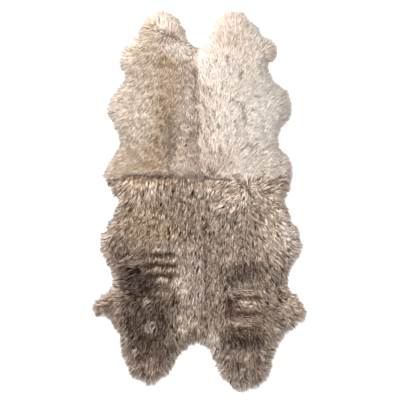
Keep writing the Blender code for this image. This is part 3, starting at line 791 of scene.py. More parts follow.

# %% [markdown]
# A fleece parts where it was folded, between its ribs and along its seams, and the dark roots show there.
# Such creases could be dark lines in the material alone, but then the wool would stay even. So each one is a
# line in millimetres with a width and a depth from 0 to 1, and the locks on it are fewer, shorter and
# darker; that darkening is painted shade in the parting, over the dark roots.

# %% Creases where the pile parts
CREASES = (
    ("lobe_parting", ((-208, 812), (-180, 798), (-137, 779), (-104, 756)), 6.6, 0.42),
    ("spine", ((-142, 391), (-137, 287), (-142, 135)), 6.6, 0.4),
    ("strip_edge", ((-2, 381), (-2, 306)), 8.5, 0.5),
    ("flank_line", ((-374, 504), (-388, 424)), 7.6, 0.28),
    ("curl_edge", ((-73, 519), (-66, 457), (-66, 396)), 5.7, 0.29),
    ("hip_fold", ((-393, 88), (-341, 118)), 7.6, 0.4),
    ("fold", ((332, 609), (322, 542), (327, 476)), 10.4, 0.2),
    ("rim_line", ((393, 481), (388, 377)), 7.6, 0.25),
    ("valley", ((208, 438), (213, 381), (223, 358)), 6.6, 0.5),
    ("valley_low", ((242, 258), (251, 234)), 6.6, 0.5),
    ("dashes_top", ((80, 741), (109, 793)), 6.6, 0.3),
    ("dashes_mid", ((137, 737), (147, 770)), 6.6, 0.3),
    ("dashes_right", ((194, 774), (227, 817)), 6.6, 0.3),
    ("cross_left", ((-341, 114), (-232, 104), (-128, 109)), 11.4, 0.7),
    ("cross_middle", ((-128, 109), (-81, 99), (-43, 109), (-10, 104)), 7.1, 0.4),
    ("leg_fold", ((-407, -471), (-445, -523)), 9.5, 0.45),
    ("rib_gap_one", ((-237, -253), (-175, -258), (-109, -256)), 6.6, 0.55),
    ("rib_gap_two", ((-246, -308), (-185, -301), (-109, -306)), 7.1, 0.6),
    ("rib_gap_three", ((-232, -348), (-161, -355), (-100, -353)), 6.6, 0.6),
    ("seam", ((38, -12), (33, -54)), 7.6, 0.7),
    ("seam_low", ((33, -140), (28, -291), (33, -471), (38, -613)), 6.2, 0.55),
    ("swirl_one", ((52, 73), (80, 50), (104, 59)), 7.1, 0.4),
    ("swirl_two", ((194, 83), (213, 50)), 7.1, 0.45),
    ("swirl_three", ((218, 73), (242, 40), (265, 7)), 7.1, 0.45),
    ("arc", ((251, -26), (289, -40), (317, -73)), 7.1, 0.35),
    ("flank_crease", ((407, -64), (422, -163), (450, -277)), 7.1, 0.18),
    ("rib_gap_one", ((180, -459), (279, -455)), 7.1, 0.65),
    ("rib_gap_two", ((128, -538), (279, -533)), 8.5, 0.7),
    ("rib_gap_three", ((128, -609), (289, -599)), 7.6, 0.6),
    ("leg_gap", ((422, -457), (464, -486)), 7.1, 0.28),
    ("dash_a", ((142, 462), (166, 476)), 4.7, 0.6),
    ("dash_b", ((85, 353), (99, 334)), 4.7, 0.6),
    ("dash_c", ((242, 230), (270, 263)), 5.2, 0.55),
    ("dash_d", ((189, 599), (199, 571)), 4.7, 0.6),
    ("dash_e", ((128, 666), (137, 632)), 5.7, 0.45),
    ("dash_f", ((47, 504), (62, 476)), 4.7, 0.6),
    ("dash_g", ((24, 443), (33, 419)), 4.7, 0.55),
    ("dash_h", ((33, 381), (47, 343)), 4.7, 0.5),
    ("dash_i", ((66, 419), (76, 377)), 4.3, 0.45),
    ("dash_j", ((47, 154), (57, 111)), 5.7, 0.6),
    ("dash_k", ((62, 140), (71, 107)), 4.7, 0.6),
    ("dash_l", ((9, 348), (14, 315)), 5.7, 0.65),
    ("dash_m", ((19, 580), (43, 523)), 4.3, 0.4),
    ("dash_n", ((5, 552), (33, 486)), 4.3, 0.4),
    ("dash_o", ((166, 372), (180, 334)), 4.3, 0.35),
    ("dash_p", ((308, 239), (341, 258)), 4.3, 0.35),
    ("dash_q", ((194, 230), (227, 253)), 4.3, 0.4),
    ("dash_r", ((28, 287), (38, 253)), 4.3, 0.5),
    ("dash_s", ((95, 239), (109, 211)), 4.3, 0.4),
    ("dash_t", ((128, 287), (137, 253)), 4.3, 0.35),
    ("dot_a", ((-185, 476), (-180, 457)), 4.7, 0.6),
    ("dot_b", ((-166, 438), (-161, 419)), 4.7, 0.5),
    ("dot_c", ((-199, 419), (-194, 400)), 4.7, 0.5),
    ("dot_d", ((-161, 386), (-152, 362)), 5.2, 0.6),
    ("dot_e", ((-180, 343), (-171, 324)), 4.7, 0.55),
    ("dot_f", ((-204, 291), (-194, 268)), 4.7, 0.55),
    ("dot_g", ((-171, 268), (-161, 244)), 5.2, 0.6),
    ("dot_h", ((-118, 258), (-109, 230)), 4.7, 0.5),
    ("dot_i", ((-90, 324), (-81, 296)), 4.7, 0.45),
    ("dot_j", ((-19, 590), (-10, 561)), 5.7, 0.45),
    ("dot_k", ((-28, 504), (-14, 462)), 5.2, 0.4),
    ("dot_l", ((-14, 419), (0, 391)), 5.2, 0.55),
    ("dot_m", ((-38, 315), (-28, 287)), 4.7, 0.5),
    ("dot_n", ((-62, 272), (-52, 249)), 4.7, 0.45),
    ("dot_o", ((-190, 216), (-180, 192)), 4.7, 0.5),
    ("dot_p", ((-137, 201), (-128, 173)), 5.7, 0.6),
    ("dot_q", ((-171, 666), (-152, 661)), 5.2, 0.5),
    ("dot_r", ((-190, 637), (-171, 628)), 5.2, 0.45),
    ("dot_s", ((-232, 542), (-246, 519)), 4.3, 0.35),
    ("dot_t", ((-213, 495), (-227, 471)), 4.3, 0.35),
    ("lobe_dark", ((-137, 779), (-104, 756)), 6.2, 0.6),
    ("streak_a", ((-128, 88), (-109, 50)), 5.7, 0.55),
    ("streak_b", ((-161, 69), (-152, 31)), 5.2, 0.5),
    ("streak_c", ((-90, 59), (-71, 21)), 5.2, 0.45),
    ("streak_d", ((-109, 7), (-62, -12)), 5.2, 0.5),
    ("streak_e", ((-199, -36), (-180, -64)), 4.7, 0.4),
    ("belly_a", ((-346, -253), (-289, -249)), 4.7, 0.4),
    ("belly_b", ((-355, -287), (-294, -282)), 4.7, 0.4),
    ("belly_c", ((-341, -320), (-280, -324)), 4.7, 0.4),
    ("dark_a", ((-280, -396), (-223, -419)), 5.7, 0.5),
    ("dark_b", ((-194, -405), (-137, -429)), 6.2, 0.6),
    ("dark_c", ((-317, -438), (-251, -457)), 5.7, 0.5),
    ("low_a", ((-185, -538), (-156, -576)), 7.6, 0.6),
    ("low_b", ((-336, -547), (-322, -604)), 6.2, 0.5),
    ("low_c", ((-275, -642), (-199, -666)), 6.2, 0.5),
    ("low_d", ((-284, -727), (-256, -760)), 6.2, 0.6),
    ("low_e", ((-265, -789), (-251, -831)), 6.2, 0.55),
    ("low_f", ((-175, -765), (-133, -784)), 5.7, 0.28),
    ("low_g", ((-317, -694), (-289, -680)), 5.2, 0.45),
    ("pit_a", ((66, -168), (85, -178)), 5.7, 0.55),
    ("pit_b", ((33, -97), (43, -121)), 4.7, 0.5),
    ("streak_a", ((47, -17), (128, 12)), 4.7, 0.45),
    ("streak_b", ((109, -36), (194, -12)), 4.7, 0.4),
    ("streak_c", ((147, 45), (194, 31)), 5.2, 0.5),
    ("streak_d", ((298, -78), (322, -130)), 4.7, 0.4),
    ("streak_e", ((265, -102), (284, -159)), 4.7, 0.35),
    ("streak_f", ((336, -149), (360, -206)), 4.7, 0.4),
    ("streak_g", ((213, -272), (260, -296)), 5.2, 0.45),
    ("streak_h", ((298, -301), (327, -339)), 5.7, 0.5),
    ("streak_i", ((365, -396), (384, -448)), 5.7, 0.55),
    ("core", ((142, -462), (152, -557)), 11.4, 0.6),
    ("low_a", ((246, -594), (298, -613)), 5.7, 0.55),
    ("low_b", ((161, -642), (232, -666)), 6.2, 0.5),
    ("low_c", ((279, -718), (284, -765)), 5.7, 0.5),
    ("low_d", ((180, -760), (189, -793)), 5.2, 0.5),
    ("low_e", ((223, -822), (232, -869)), 4.7, 0.4),
    ("leg_dark", ((450, -561), (469, -580)), 5.7, 0.5),
    ("gap_a", ((19, -628), (33, -651)), 5.7, 0.4),
    ("gap_b", ((-24, -632), (-14, -651)), 5.7, 0.29),
    ("gap_c", ((-57, -628), (-47, -647)), 5.2, 0.29),
    ("cross_right", ((71, 104), (104, 111)), 5.7, 0.35),
    ("cross_far", ((156, 116), (189, 107)), 5.7, 0.45),
)
print("creases", len(CREASES))

# %% Depth of the creases at any place
CREASE_EDGE = (0.3, 1.2)
SPOT_WAVELENGTH = 0.019
SPOT_MEAN, SPOT_SWING, SPOT_LEAST = 0.65, 0.6, 0.15
SPOT_SEED = 5
CREASE_STEP = 0.004
CREASE_FOUND = 0.30


def crease_depth(places, spotty=True):
    """How much each place lies in a crease, from 0 to 1, broken into spots or even."""
    deepest = np.zeros(len(places))
    for _, line, width, depth in CREASES:
        points = np.array(line) * MM
        low, high = [share * width * MM for share in CREASE_EDGE]
        for start, end in zip(points[:-1], points[1:]):
            run = end - start
            share = np.clip((places - start) @ run / (run @ run), 0.0, 1.0)
            gap = np.linalg.norm(places - start - share[:, None] * run, axis=1)
            deepest = np.maximum(deepest, depth * (1.0 - smooth_step(gap, low, high)))
    if not spotty:
        return deepest
    spots = SPOT_MEAN + SPOT_SWING * ripple(places, SPOT_WAVELENGTH, SPOT_SEED)
    return deepest * np.clip(spots, SPOT_LEAST, 1.0)


def room_to_crease(places, heading, reach):
    """How far a lock can run along its heading before it would cover a crease."""
    clear = np.full(len(places), reach)
    for step in np.arange(reach, 0.0, -CREASE_STEP):
        deep = crease_depth(places + heading * step, spotty=False) > CREASE_FOUND
        clear[deep] = step
    return clear


print("crease depth at four places", crease_depth(sample).round(2))

# %% [markdown]
# Each undercoat now takes the numbers that its locks need, as attributes on its points. An attribute is a
# named value on every point of a mesh, and Geometry Nodes carries it on to whatever grows there. The locks
# could be a particle system, but its hairs are not in the mesh that a game or another program receives.
# Wool stands up in the darkest places and in crowns, where the combed fields part, and lies flat at the rim.
# The base of an undercoat is hidden, so no locks grow there.

# %% Attributes on the undercoats
LOCK_LENGTH = 0.038
LENGTH_WANDER = 0.20
LENGTH_WAVELENGTH = 0.060
SHORTEST_LOCK = 0.012
CREASE_SHORTENING = 0.45
CREASE_THINNING = 0.65
LIFT_LOW = {"upper_left": 23.0, "upper_right": 20.0, "lower_left": 27.0, "lower_right": 27.0}
LIFT_WANDER = 9.0
LIFT_LIMIT = 80.0
UPRIGHT_TONES = (0.16, 0.40)
UPRIGHT_LIFT = 12.0
CROWN_LIFT = 28.0
CROWN_AGREED = (0.25, 0.80)
RIM_FLAT = 0.03
RIM_BAND = 0.014
RIM_CROWD = 0.9
RIM_FADE = (0.004, 0.030)
BASE_MARGIN = 0.0005
COMB_SEED, LIFT_SEED, LENGTH_SEED = 31, 71, 91


def store(mesh, name, kind, values):
    """Writes one value per point on a mesh."""
    layer = mesh.attributes.new(name, kind, "POINT")
    field = {"FLOAT": "value", "FLOAT_VECTOR": "vector", "FLOAT_COLOR": "color"}[kind]
    layer.data.foreach_set(field, np.ascontiguousarray(values, dtype=np.float32).ravel())


def lift_angles(skin, places, colours, room, agreed, seed):
    """How steeply the wool stands at each place, in radians."""
    dark = 1.0 - smooth_step(colours.mean(axis=1), *UPRIGHT_TONES)
    lift = LIFT_LOW[skin] + UPRIGHT_LIFT * dark + LIFT_WANDER * ripple(places, WANDER_WAVELENGTH, seed)
    lift += CROWN_LIFT * (1.0 - smooth_step(agreed, *CROWN_AGREED))
    lift *= smooth_step(room, 0.0, RIM_FLAT)
    return np.radians(np.clip(lift, 0.0, LIFT_LIMIT))


def lock_lengths(places, heading, crease, seed):
    """Length of the locks at each place, shorter in a crease and where one would be covered."""
    length = LOCK_LENGTH * (1.0 + LENGTH_WANDER * ripple(places, LENGTH_WAVELENGTH, seed))
    length *= 1.0 - CREASE_SHORTENING * crease
    clear = room_to_crease(places, heading, LOCK_LENGTH)
    return np.where(clear < LOCK_LENGTH, np.minimum(length, np.maximum(clear, SHORTEST_LOCK)), length)


for order, skin in enumerate(SKINS):
    mesh = undercoats[skin].data
    corners = places_of(mesh)
    plan = corners[:, :2]
    heading, room, agreed = nap(skin, plan, COMB_SEED + order)
    colours = wool_colours(plan, PATCHES)
    crease = crease_depth(plan)
    lift = lift_angles(skin, plan, colours, room, agreed, LIFT_SEED + order)
    length = lock_lengths(plan, heading, crease, LENGTH_SEED + order)
    on_top = corners[:, 2] > FLEECE_BASE + BASE_MARGIN
    crowd = (1.0 + RIM_CROWD * (room < RIM_BAND)) * (1.0 - CREASE_THINNING * crease) * on_top
    store(mesh, "comb", "FLOAT_VECTOR", np.column_stack([heading * np.cos(lift)[:, None], np.sin(lift)]))
    store(mesh, "lock_length", "FLOAT", length)
    store(mesh, "crowd", "FLOAT", crowd)
    store(mesh, "crease", "FLOAT", crease)
    # The rim fade also places the painted light near the rim.
    store(mesh, "rim", "FLOAT", 1.0 - smooth_step(room, *RIM_FADE))
    store(mesh, "wool_colour", "FLOAT_COLOR", np.column_stack([colours, np.ones(len(colours))]))
    print(skin, "lift", np.degrees(lift).mean().round(1), "mean length", length.mean().round(4))

# %% [markdown]
# One lock of wool is a thin tuft of fibres that is widest below its middle and ends in a point. The model of
# it is a slim three-sided spindle of six triangles, one unit long and one unit wide, because it is repeated
# tens of thousands of times. A flat blade would need fewer triangles, but it is lost to sight from its edge.
# Its points keep how far along the lock they are, for the colour and the bend.

# %% One lock
LOCK_SIDES = 3
LOCK_WAIST = 0.42
LOCK_RADIUS = 0.5

lock_places = [(0.0, 0.0, 0.0)]
for side in range(LOCK_SIDES):
    turn = math.tau * side / LOCK_SIDES
    lock_places.append((LOCK_RADIUS * math.cos(turn), LOCK_WAIST, -LOCK_RADIUS * math.sin(turn)))
lock_places.append((0.0, 1.0, 0.0))
lock_along = [place[1] for place in lock_places]
root, tip = 0, len(lock_places) - 1
lock_faces = []
for side in range(LOCK_SIDES):
    first, second = 1 + side, 1 + (side + 1) % LOCK_SIDES
    lock_faces += [(root, second, first), (first, second, tip)]
lock_mesh = bpy.data.meshes.new("lock")
lock_mesh.from_pydata(lock_places, [], lock_faces)
store(lock_mesh, "along", "FLOAT", lock_along)
lock_form = bmesh.new()
lock_form.from_mesh(lock_mesh)
lock_volume = lock_form.calc_volume(signed=True)
lock_form.free()
lock = bpy.data.objects.new("lock", lock_mesh)
print("lock volume", round(lock_volume, 4), "faces", len(lock_faces))

# %% [markdown]
# Geometry Nodes grow the locks. The tree scatters points over an undercoat, turns each lock along its comb
# and pulls it toward the nearest of a sparser set of points, because real wool gathers in small clumps. Then
# it makes the copies real, bends them under their weight and keeps them above the hide. The helpers below
# each add one node and link it, so that a tree reads like a sum.

# %% Helpers for node trees
# Sockets of a mix node that take its two colours and give the mixed one
COLOUR_ONE, COLOUR_TWO, COLOUR_MIXED = 6, 7, 2


def add(tree, kind, **settings):
    """A new node in a tree with its settings."""
    node = tree.nodes.new(kind)
    for name, value in settings.items():
        setattr(node, name, value)
    return node


def feed(tree, target, source):
    """Links an output to an input, or writes a plain value on it."""
    if isinstance(source, bpy.types.NodeSocket):
        tree.links.new(source, target)
    else:
        target.default_value = source


def maths(tree, operation, *sources):
    """Result of one operation on numbers."""
    node = add(tree, "ShaderNodeMath", operation=operation)
    for target, source in zip(node.inputs, sources):
        feed(tree, target, source)
    return node.outputs[0]


def vectors(tree, operation, first, second=None, scale=None):
    """Result of one operation on vectors."""
    node = add(tree, "ShaderNodeVectorMath", operation=operation)
    feed(tree, node.inputs[0], first)
    if second is not None:
        feed(tree, node.inputs[1], second)
    if scale is not None:
        feed(tree, node.inputs["Scale"], scale)
    return node.outputs[0]


def named(tree, kind, name):
    """Reads a named attribute in a geometry tree."""
    node = add(tree, "GeometryNodeInputNamedAttribute", data_type=kind)
    node.inputs["Name"].default_value = name
    return node.outputs["Attribute"]


def random_number(tree, low, high, seed, offset):
    """Random number between two values for each point."""
    node = add(tree, "FunctionNodeRandomValue", data_type="FLOAT")
    feed(tree, node.inputs[2], low)
    feed(tree, node.inputs[3], high)
    feed(tree, node.inputs["Seed"], maths(tree, "ADD", seed, offset))
    return node.outputs[1]


def keep(tree, geometry, kind, name, value):
    """Writes a named attribute on a geometry's points."""
    node = add(tree, "GeometryNodeStoreNamedAttribute", data_type=kind, domain="POINT")
    feed(tree, node.inputs["Geometry"], geometry)
    node.inputs["Name"].default_value = name
    feed(tree, node.inputs["Value"], value)
    return node.outputs["Geometry"]


print("helpers", [helper.__name__ for helper in (add, feed, maths, vectors, named, random_number, keep)])

# %% [markdown]
# Chance enters the wool's tree in eight places. The roots take the tree's seed, and the others the seed plus
# a step of their own, so the rug comes out the same at every run. A lock reads some of its chance from the
# heart of its clump, the nearest of the sparser points, and so the locks of a clump agree.

# %% Chance and clumps of the wool
HEART_STEP, CLUMP_TONE_STEP, STRAY_STEP = 1.0, 2.0, 3.0
LOCK_TONE_STEP, SPAN_STEP, WIDTH_STEP, BUNCH_STEP = 4.0, 5.0, 6.0, 7.0


def scattered(tree, surface, crowd, per_metre, seed):
    """Chance points on a surface, as many to the square metre as given, times the crowd there."""
    node = add(tree, "GeometryNodeDistributePointsOnFaces", distribute_method="RANDOM")
    feed(tree, node.inputs["Mesh"], surface)
    feed(tree, node.inputs["Density"], maths(tree, "MULTIPLY", crowd, per_metre))
    feed(tree, node.inputs["Seed"], seed)
    return node.outputs["Points"]


def random_vector(tree, seed, step):
    """Random vector for each point, of -1 to 1 along each axis."""
    node = add(tree, "FunctionNodeRandomValue", data_type="FLOAT_VECTOR")
    node.inputs[0].default_value = (-1.0, -1.0, -1.0)
    feed(tree, node.inputs["Seed"], maths(tree, "ADD", seed, step))
    return node.outputs[0]


def from_nearest(tree, hearts, kind, value):
    """The value that the nearest clump's heart has."""
    nearest = add(tree, "GeometryNodeSampleNearest")
    feed(tree, nearest.inputs["Geometry"], hearts)
    read = add(tree, "GeometryNodeSampleIndex", data_type=kind)
    feed(tree, read.inputs["Geometry"], hearts)
    feed(tree, read.inputs["Value"], value)
    feed(tree, read.inputs["Index"], nearest.outputs["Index"])
    return read.outputs[0]


print("steps from the seed", HEART_STEP, "to", BUNCH_STEP)

# %% Aim, growth and lie of the locks
SPAN_RANGE = (0.72, 1.28)
WIDTH_RANGE = (0.65, 1.35)
BEND_POWER = 2.0
SWAY_FINENESS = 38.0
SWAY_DETAIL = 1.5
NOISE_MIDDLE = 0.5


def lock_aims(tree, given, hearts):
    """Unit direction of each lock, from its comb, the line of its clump and two strays."""
    place = add(tree, "GeometryNodeInputPosition").outputs[0]
    length = named(tree, "FLOAT", "lock_length")
    comb = named(tree, "FLOAT_VECTOR", "comb")
    lean = vectors(tree, "SCALE", comb, scale=length)
    offset = vectors(tree, "SUBTRACT", from_nearest(tree, hearts, "FLOAT_VECTOR", place), place)
    run = add(tree, "ShaderNodeVectorMath", operation="DOT_PRODUCT")
    feed(tree, run.inputs[0], offset)
    feed(tree, run.inputs[1], comb)
    kept = maths(tree, "MULTIPLY", run.outputs["Value"], maths(tree, "SUBTRACT", 1.0, given["Clump gather"]))
    sideways = vectors(tree, "SUBTRACT", offset, vectors(tree, "SCALE", comb, scale=kept))
    pull = vectors(tree, "SCALE", sideways, scale=given["Clump pull"])
    own = random_vector(tree, given["Seed"], STRAY_STEP)
    own = vectors(tree, "SCALE", own, scale=maths(tree, "MULTIPLY", length, given["Stray"]))
    shared = from_nearest(tree, hearts, "FLOAT_VECTOR", random_vector(tree, given["Seed"], BUNCH_STEP))
    shared = vectors(tree, "SCALE", shared, scale=maths(tree, "MULTIPLY", length, given["Clump stray"]))
    aim = vectors(tree, "ADD", vectors(tree, "ADD", lean, pull), vectors(tree, "ADD", own, shared))
    return vectors(tree, "NORMALIZE", aim)


def grown_locks(tree, given, points):
    """Real copies of the lock, rooted a little below the points, along their aim and of their size."""
    aim = named(tree, "FLOAT_VECTOR", "aim")
    planted = add(tree, "GeometryNodeSetPosition")
    feed(tree, planted.inputs["Geometry"], points)
    feed(tree, planted.inputs["Offset"], vectors(tree, "SCALE", aim, scale=given["Root depth"]))
    turned = add(tree, "FunctionNodeAlignRotationToVector", axis="Y")
    feed(tree, turned.inputs["Vector"], aim)
    width = random_number(tree, *WIDTH_RANGE, given["Seed"], WIDTH_STEP)
    width = maths(tree, "MULTIPLY", given["Lock width"], width)
    size = add(tree, "ShaderNodeCombineXYZ")
    feed(tree, size.inputs["X"], width)
    feed(tree, size.inputs["Y"], named(tree, "FLOAT", "span"))
    feed(tree, size.inputs["Z"], width)
    shape = add(tree, "GeometryNodeObjectInfo")
    feed(tree, shape.inputs["Object"], given["Lock"])
    grown = add(tree, "GeometryNodeInstanceOnPoints")
    feed(tree, grown.inputs["Points"], planted.outputs["Geometry"])
    feed(tree, grown.inputs["Instance"], shape.outputs["Geometry"])
    feed(tree, grown.inputs["Rotation"], turned.outputs["Rotation"])
    feed(tree, grown.inputs["Scale"], size.outputs[0])
    real = add(tree, "GeometryNodeRealizeInstances")
    feed(tree, real.inputs["Geometry"], grown.outputs["Instances"])
    return real.outputs["Geometry"]


def laid_locks(tree, given, locks):
    """The locks bent by a slow sway and their own weight, and held between a floor and a ceiling."""
    place = add(tree, "GeometryNodeInputPosition").outputs[0]
    bend = maths(tree, "POWER", named(tree, "FLOAT", "along"), BEND_POWER)
    wave = add(tree, "ShaderNodeTexNoise")
    feed(tree, wave.inputs["Vector"], place)
    wave.inputs["Scale"].default_value = SWAY_FINENESS
    wave.inputs["Detail"].default_value = SWAY_DETAIL
    sway = vectors(tree, "SUBTRACT", wave.outputs["Color"], (NOISE_MIDDLE, NOISE_MIDDLE, NOISE_MIDDLE))
    sway = vectors(tree, "SCALE", sway, scale=maths(tree, "MULTIPLY", bend, given["Sway"]))
    weight = maths(tree, "MULTIPLY", bend, named(tree, "FLOAT", "span"))
    weight = maths(tree, "MULTIPLY", weight, given["Droop"])
    fall = add(tree, "ShaderNodeCombineXYZ")
    feed(tree, fall.inputs["Z"], maths(tree, "MULTIPLY", weight, -1.0))
    bent = add(tree, "GeometryNodeSetPosition")
    feed(tree, bent.inputs["Geometry"], locks)
    feed(tree, bent.inputs["Offset"], vectors(tree, "ADD", sway, fall.outputs[0]))
    apart = add(tree, "ShaderNodeSeparateXYZ")
    feed(tree, apart.inputs[0], place)
    held = add(tree, "ShaderNodeCombineXYZ")
    feed(tree, held.inputs["X"], apart.outputs["X"])
    feed(tree, held.inputs["Y"], apart.outputs["Y"])
    height = maths(tree, "MINIMUM", apart.outputs["Z"], given["Ceiling"])
    feed(tree, held.inputs["Z"], maths(tree, "MAXIMUM", height, given["Floor"]))
    laid = add(tree, "GeometryNodeSetPosition")
    feed(tree, laid.inputs["Geometry"], bent.outputs["Geometry"])
    feed(tree, laid.inputs["Position"], held.outputs[0])
    return laid.outputs["Geometry"]


print("locks of", SPAN_RANGE, "of their length and", WIDTH_RANGE, "of their width")

# %% Geometry tree of the wool
WOOL_NUMBERS = (
    "Locks per square metre", "Lock width", "Clumps per square metre", "Clump pull", "Clump gather", "Stray",
    "Clump stray", "Sway", "Droop", "Root depth", "Floor", "Ceiling",
)


def wool_tree():
    """Geometry tree that grows combed, clumped locks on an undercoat."""
    tree = bpy.data.node_groups.new("wool_locks", "GeometryNodeTree")
    plan = tree.interface
    plan.new_socket("Undercoat", in_out="INPUT", socket_type="NodeSocketGeometry")
    plan.new_socket("Lock", in_out="INPUT", socket_type="NodeSocketObject")
    for name in WOOL_NUMBERS:
        plan.new_socket(name, in_out="INPUT", socket_type="NodeSocketFloat")
    plan.new_socket("Seed", in_out="INPUT", socket_type="NodeSocketInt")
    plan.new_socket("Finish", in_out="INPUT", socket_type="NodeSocketMaterial")
    plan.new_socket("Wool", in_out="OUTPUT", socket_type="NodeSocketGeometry")
    given = add(tree, "NodeGroupInput").outputs
    seed = given["Seed"]

    crowd = named(tree, "FLOAT", "crowd")
    roots = scattered(tree, given["Undercoat"], crowd, given["Locks per square metre"], seed)
    heart_seed = maths(tree, "ADD", seed, HEART_STEP)
    hearts = scattered(tree, given["Undercoat"], crowd, given["Clumps per square metre"], heart_seed)
    clump_tone = from_nearest(tree, hearts, "FLOAT", random_number(tree, 0.0, 1.0, seed, CLUMP_TONE_STEP))
    share = random_number(tree, *SPAN_RANGE, seed, SPAN_STEP)
    span = maths(tree, "MULTIPLY", named(tree, "FLOAT", "lock_length"), share)
    points = keep(tree, roots, "FLOAT_VECTOR", "aim", lock_aims(tree, given, hearts))
    points = keep(tree, points, "FLOAT", "clump_tone", clump_tone)
    points = keep(tree, points, "FLOAT", "lock_tone", random_number(tree, 0.0, 1.0, seed, LOCK_TONE_STEP))
    points = keep(tree, points, "FLOAT", "span", span)
    smooth = add(tree, "GeometryNodeSetShadeSmooth")
    feed(tree, smooth.inputs["Geometry"], laid_locks(tree, given, grown_locks(tree, given, points)))
    finish = add(tree, "GeometryNodeSetMaterial")
    feed(tree, finish.inputs["Geometry"], smooth.outputs["Geometry"])
    feed(tree, finish.inputs["Material"], given["Finish"])
    feed(tree, add(tree, "NodeGroupOutput").inputs[0], finish.outputs["Geometry"])
    return tree


wool_locks = wool_tree()
print("wool tree nodes", len(wool_locks.nodes))

# %% [markdown]
# The finishes come next, since a geometry tree hands a material to what it grows. Wool is darker at its
# roots, where dirt and grease stay, and that darkening is also painted shade, since light hardly reaches
# there.
# It is pale at its tips, partly as painted highlight. No two locks match, so each has its own tone, and so
# has each clump; the darkest of these tones are partly painted shade between the locks. The undercoat and
# the locks share that group of nodes.

# %% Shared node groups for fibres
FIBRE_DETAIL = 3.0
RISE_POWER = 0.7
FROST_AND_HIGHLIGHT_POWER = 2.0
LOCK_TONE_SHARE, LOCK_TONE_MEAN = 0.4, 0.5
CLUMP_POWER, CLUMP_MEAN = 0.5, 0.667
ROOT_ROUGHNESS, ROUGHNESS_FALL = 0.96, 0.14


def shader_group(name, inputs, outputs):
    """An empty shader group with named sockets, and its input and output nodes."""
    group = bpy.data.node_groups.new(name, "ShaderNodeTree")
    for title, kind in inputs:
        group.interface.new_socket(title, in_out="INPUT", socket_type="NodeSocket" + kind)
    for title, kind in outputs:
        group.interface.new_socket(title, in_out="OUTPUT", socket_type="NodeSocket" + kind)
    return group, add(group, "NodeGroupInput").outputs, add(group, "NodeGroupOutput").inputs


def fibre_group():
    """Fine fibres as a height and a tone, on the piece's own coordinates."""
    group, given, result = shader_group(
        "fibres", (("Fineness", "Float"),), (("Height", "Float"), ("Tone", "Float")))
    place = add(group, "ShaderNodeTexCoord").outputs["Object"]
    noise = add(group, "ShaderNodeTexNoise")
    feed(group, noise.inputs["Vector"], place)
    feed(group, noise.inputs["Scale"], given["Fineness"])
    noise.inputs["Detail"].default_value = FIBRE_DETAIL
    feed(group, result["Height"], noise.outputs["Fac"])
    feed(group, result["Tone"], maths(group, "SUBTRACT", noise.outputs["Fac"], NOISE_MIDDLE))
    return group


def fleece_group():
    """Colour of wool from its own colour, with dirt and painted shade at the root, painted shade in creases,
    pale tips partly as painted highlight, and chance tones.
    """
    group, given, result = shader_group(
        "fleece",
        (("Colour", "Color"), ("Along", "Float"), ("Lock tone", "Float"), ("Clump tone", "Float"),
         ("Crease", "Float"), ("Root shade", "Float"), ("Tone and shade spread", "Float"), ("Fibre tone", "Float"),
         ("Tip colour", "Color"), ("Tip share", "Float"), ("Warmth", "Float")),
        (("Colour", "Color"), ("Roughness", "Float")))
    # Roots are darker: partly their dirt and grease, partly painted shade where light hardly reaches.
    rise = maths(group, "POWER", given["Along"], RISE_POWER)
    root = maths(group, "SUBTRACT", 1.0, given["Root shade"])
    light = maths(group, "ADD", root, maths(group, "MULTIPLY", rise, given["Root shade"]))
    # Random tones of lock and clump; their dark end is partly painted shade between the locks.
    chance = maths(group, "SUBTRACT", given["Lock tone"], LOCK_TONE_MEAN)
    clump = maths(group, "SUBTRACT", maths(group, "POWER", given["Clump tone"], CLUMP_POWER), CLUMP_MEAN)
    both = maths(group, "ADD", maths(group, "MULTIPLY", chance, LOCK_TONE_SHARE), clump)
    spread = maths(group, "MULTIPLY", both, given["Tone and shade spread"])
    tone = maths(group, "ADD", maths(group, "ADD", spread, 1.0), given["Fibre tone"])
    shade = maths(group, "MULTIPLY", light, tone)
    # Creases darken the colour: painted shade in the partings, over the dark roots there.
    shade = maths(group, "MULTIPLY", shade, maths(group, "SUBTRACT", 1.0, given["Crease"]))
    # Tips pale toward the tip colour: partly the wool's paler tips, partly painted highlight.
    frost_and_highlight = maths(group, "POWER", given["Along"], FROST_AND_HIGHLIGHT_POWER)
    frost_and_highlight = maths(group, "MULTIPLY", frost_and_highlight, given["Clump tone"])
    frosted_and_highlit = add(group, "ShaderNodeMix", data_type="RGBA")
    feed(group, frosted_and_highlit.inputs["Factor"], maths(group, "MULTIPLY", frost_and_highlight, given["Tip share"]))
    feed(group, frosted_and_highlit.inputs[COLOUR_ONE], given["Colour"])
    feed(group, frosted_and_highlit.inputs[COLOUR_TWO], given["Tip colour"])
    # Darker values, painted shade among them, turn warmer.
    less = maths(group, "SUBTRACT", 1.0, given["Warmth"])
    more = maths(group, "ADD", 1.0, given["Warmth"])
    depth = add(group, "ShaderNodeCombineXYZ")
    feed(group, depth.inputs["X"], maths(group, "POWER", shade, less))
    feed(group, depth.inputs["Y"], shade)
    feed(group, depth.inputs["Z"], maths(group, "POWER", shade, more))
    coloured = vectors(group, "MULTIPLY", frosted_and_highlit.outputs[COLOUR_MIXED], depth.outputs[0])
    feed(group, result["Colour"], coloured)
    smoother = maths(group, "MULTIPLY", rise, ROUGHNESS_FALL)
    feed(group, result["Roughness"], maths(group, "SUBTRACT", ROOT_ROUGHNESS, smoother))
    return group


fibres = fibre_group()
fleece = fleece_group()
print("shader groups", fibres.name, fleece.name)

# %% [markdown]
# Wool is matt: its scales scatter light, so the shader gets little gloss, a trace of sheen and high
# roughness. The locks read how far along they lie from their own points. The undercoat has no tips, so it
# takes one value near the root and stays dark between the locks, with root dirt and painted shade.

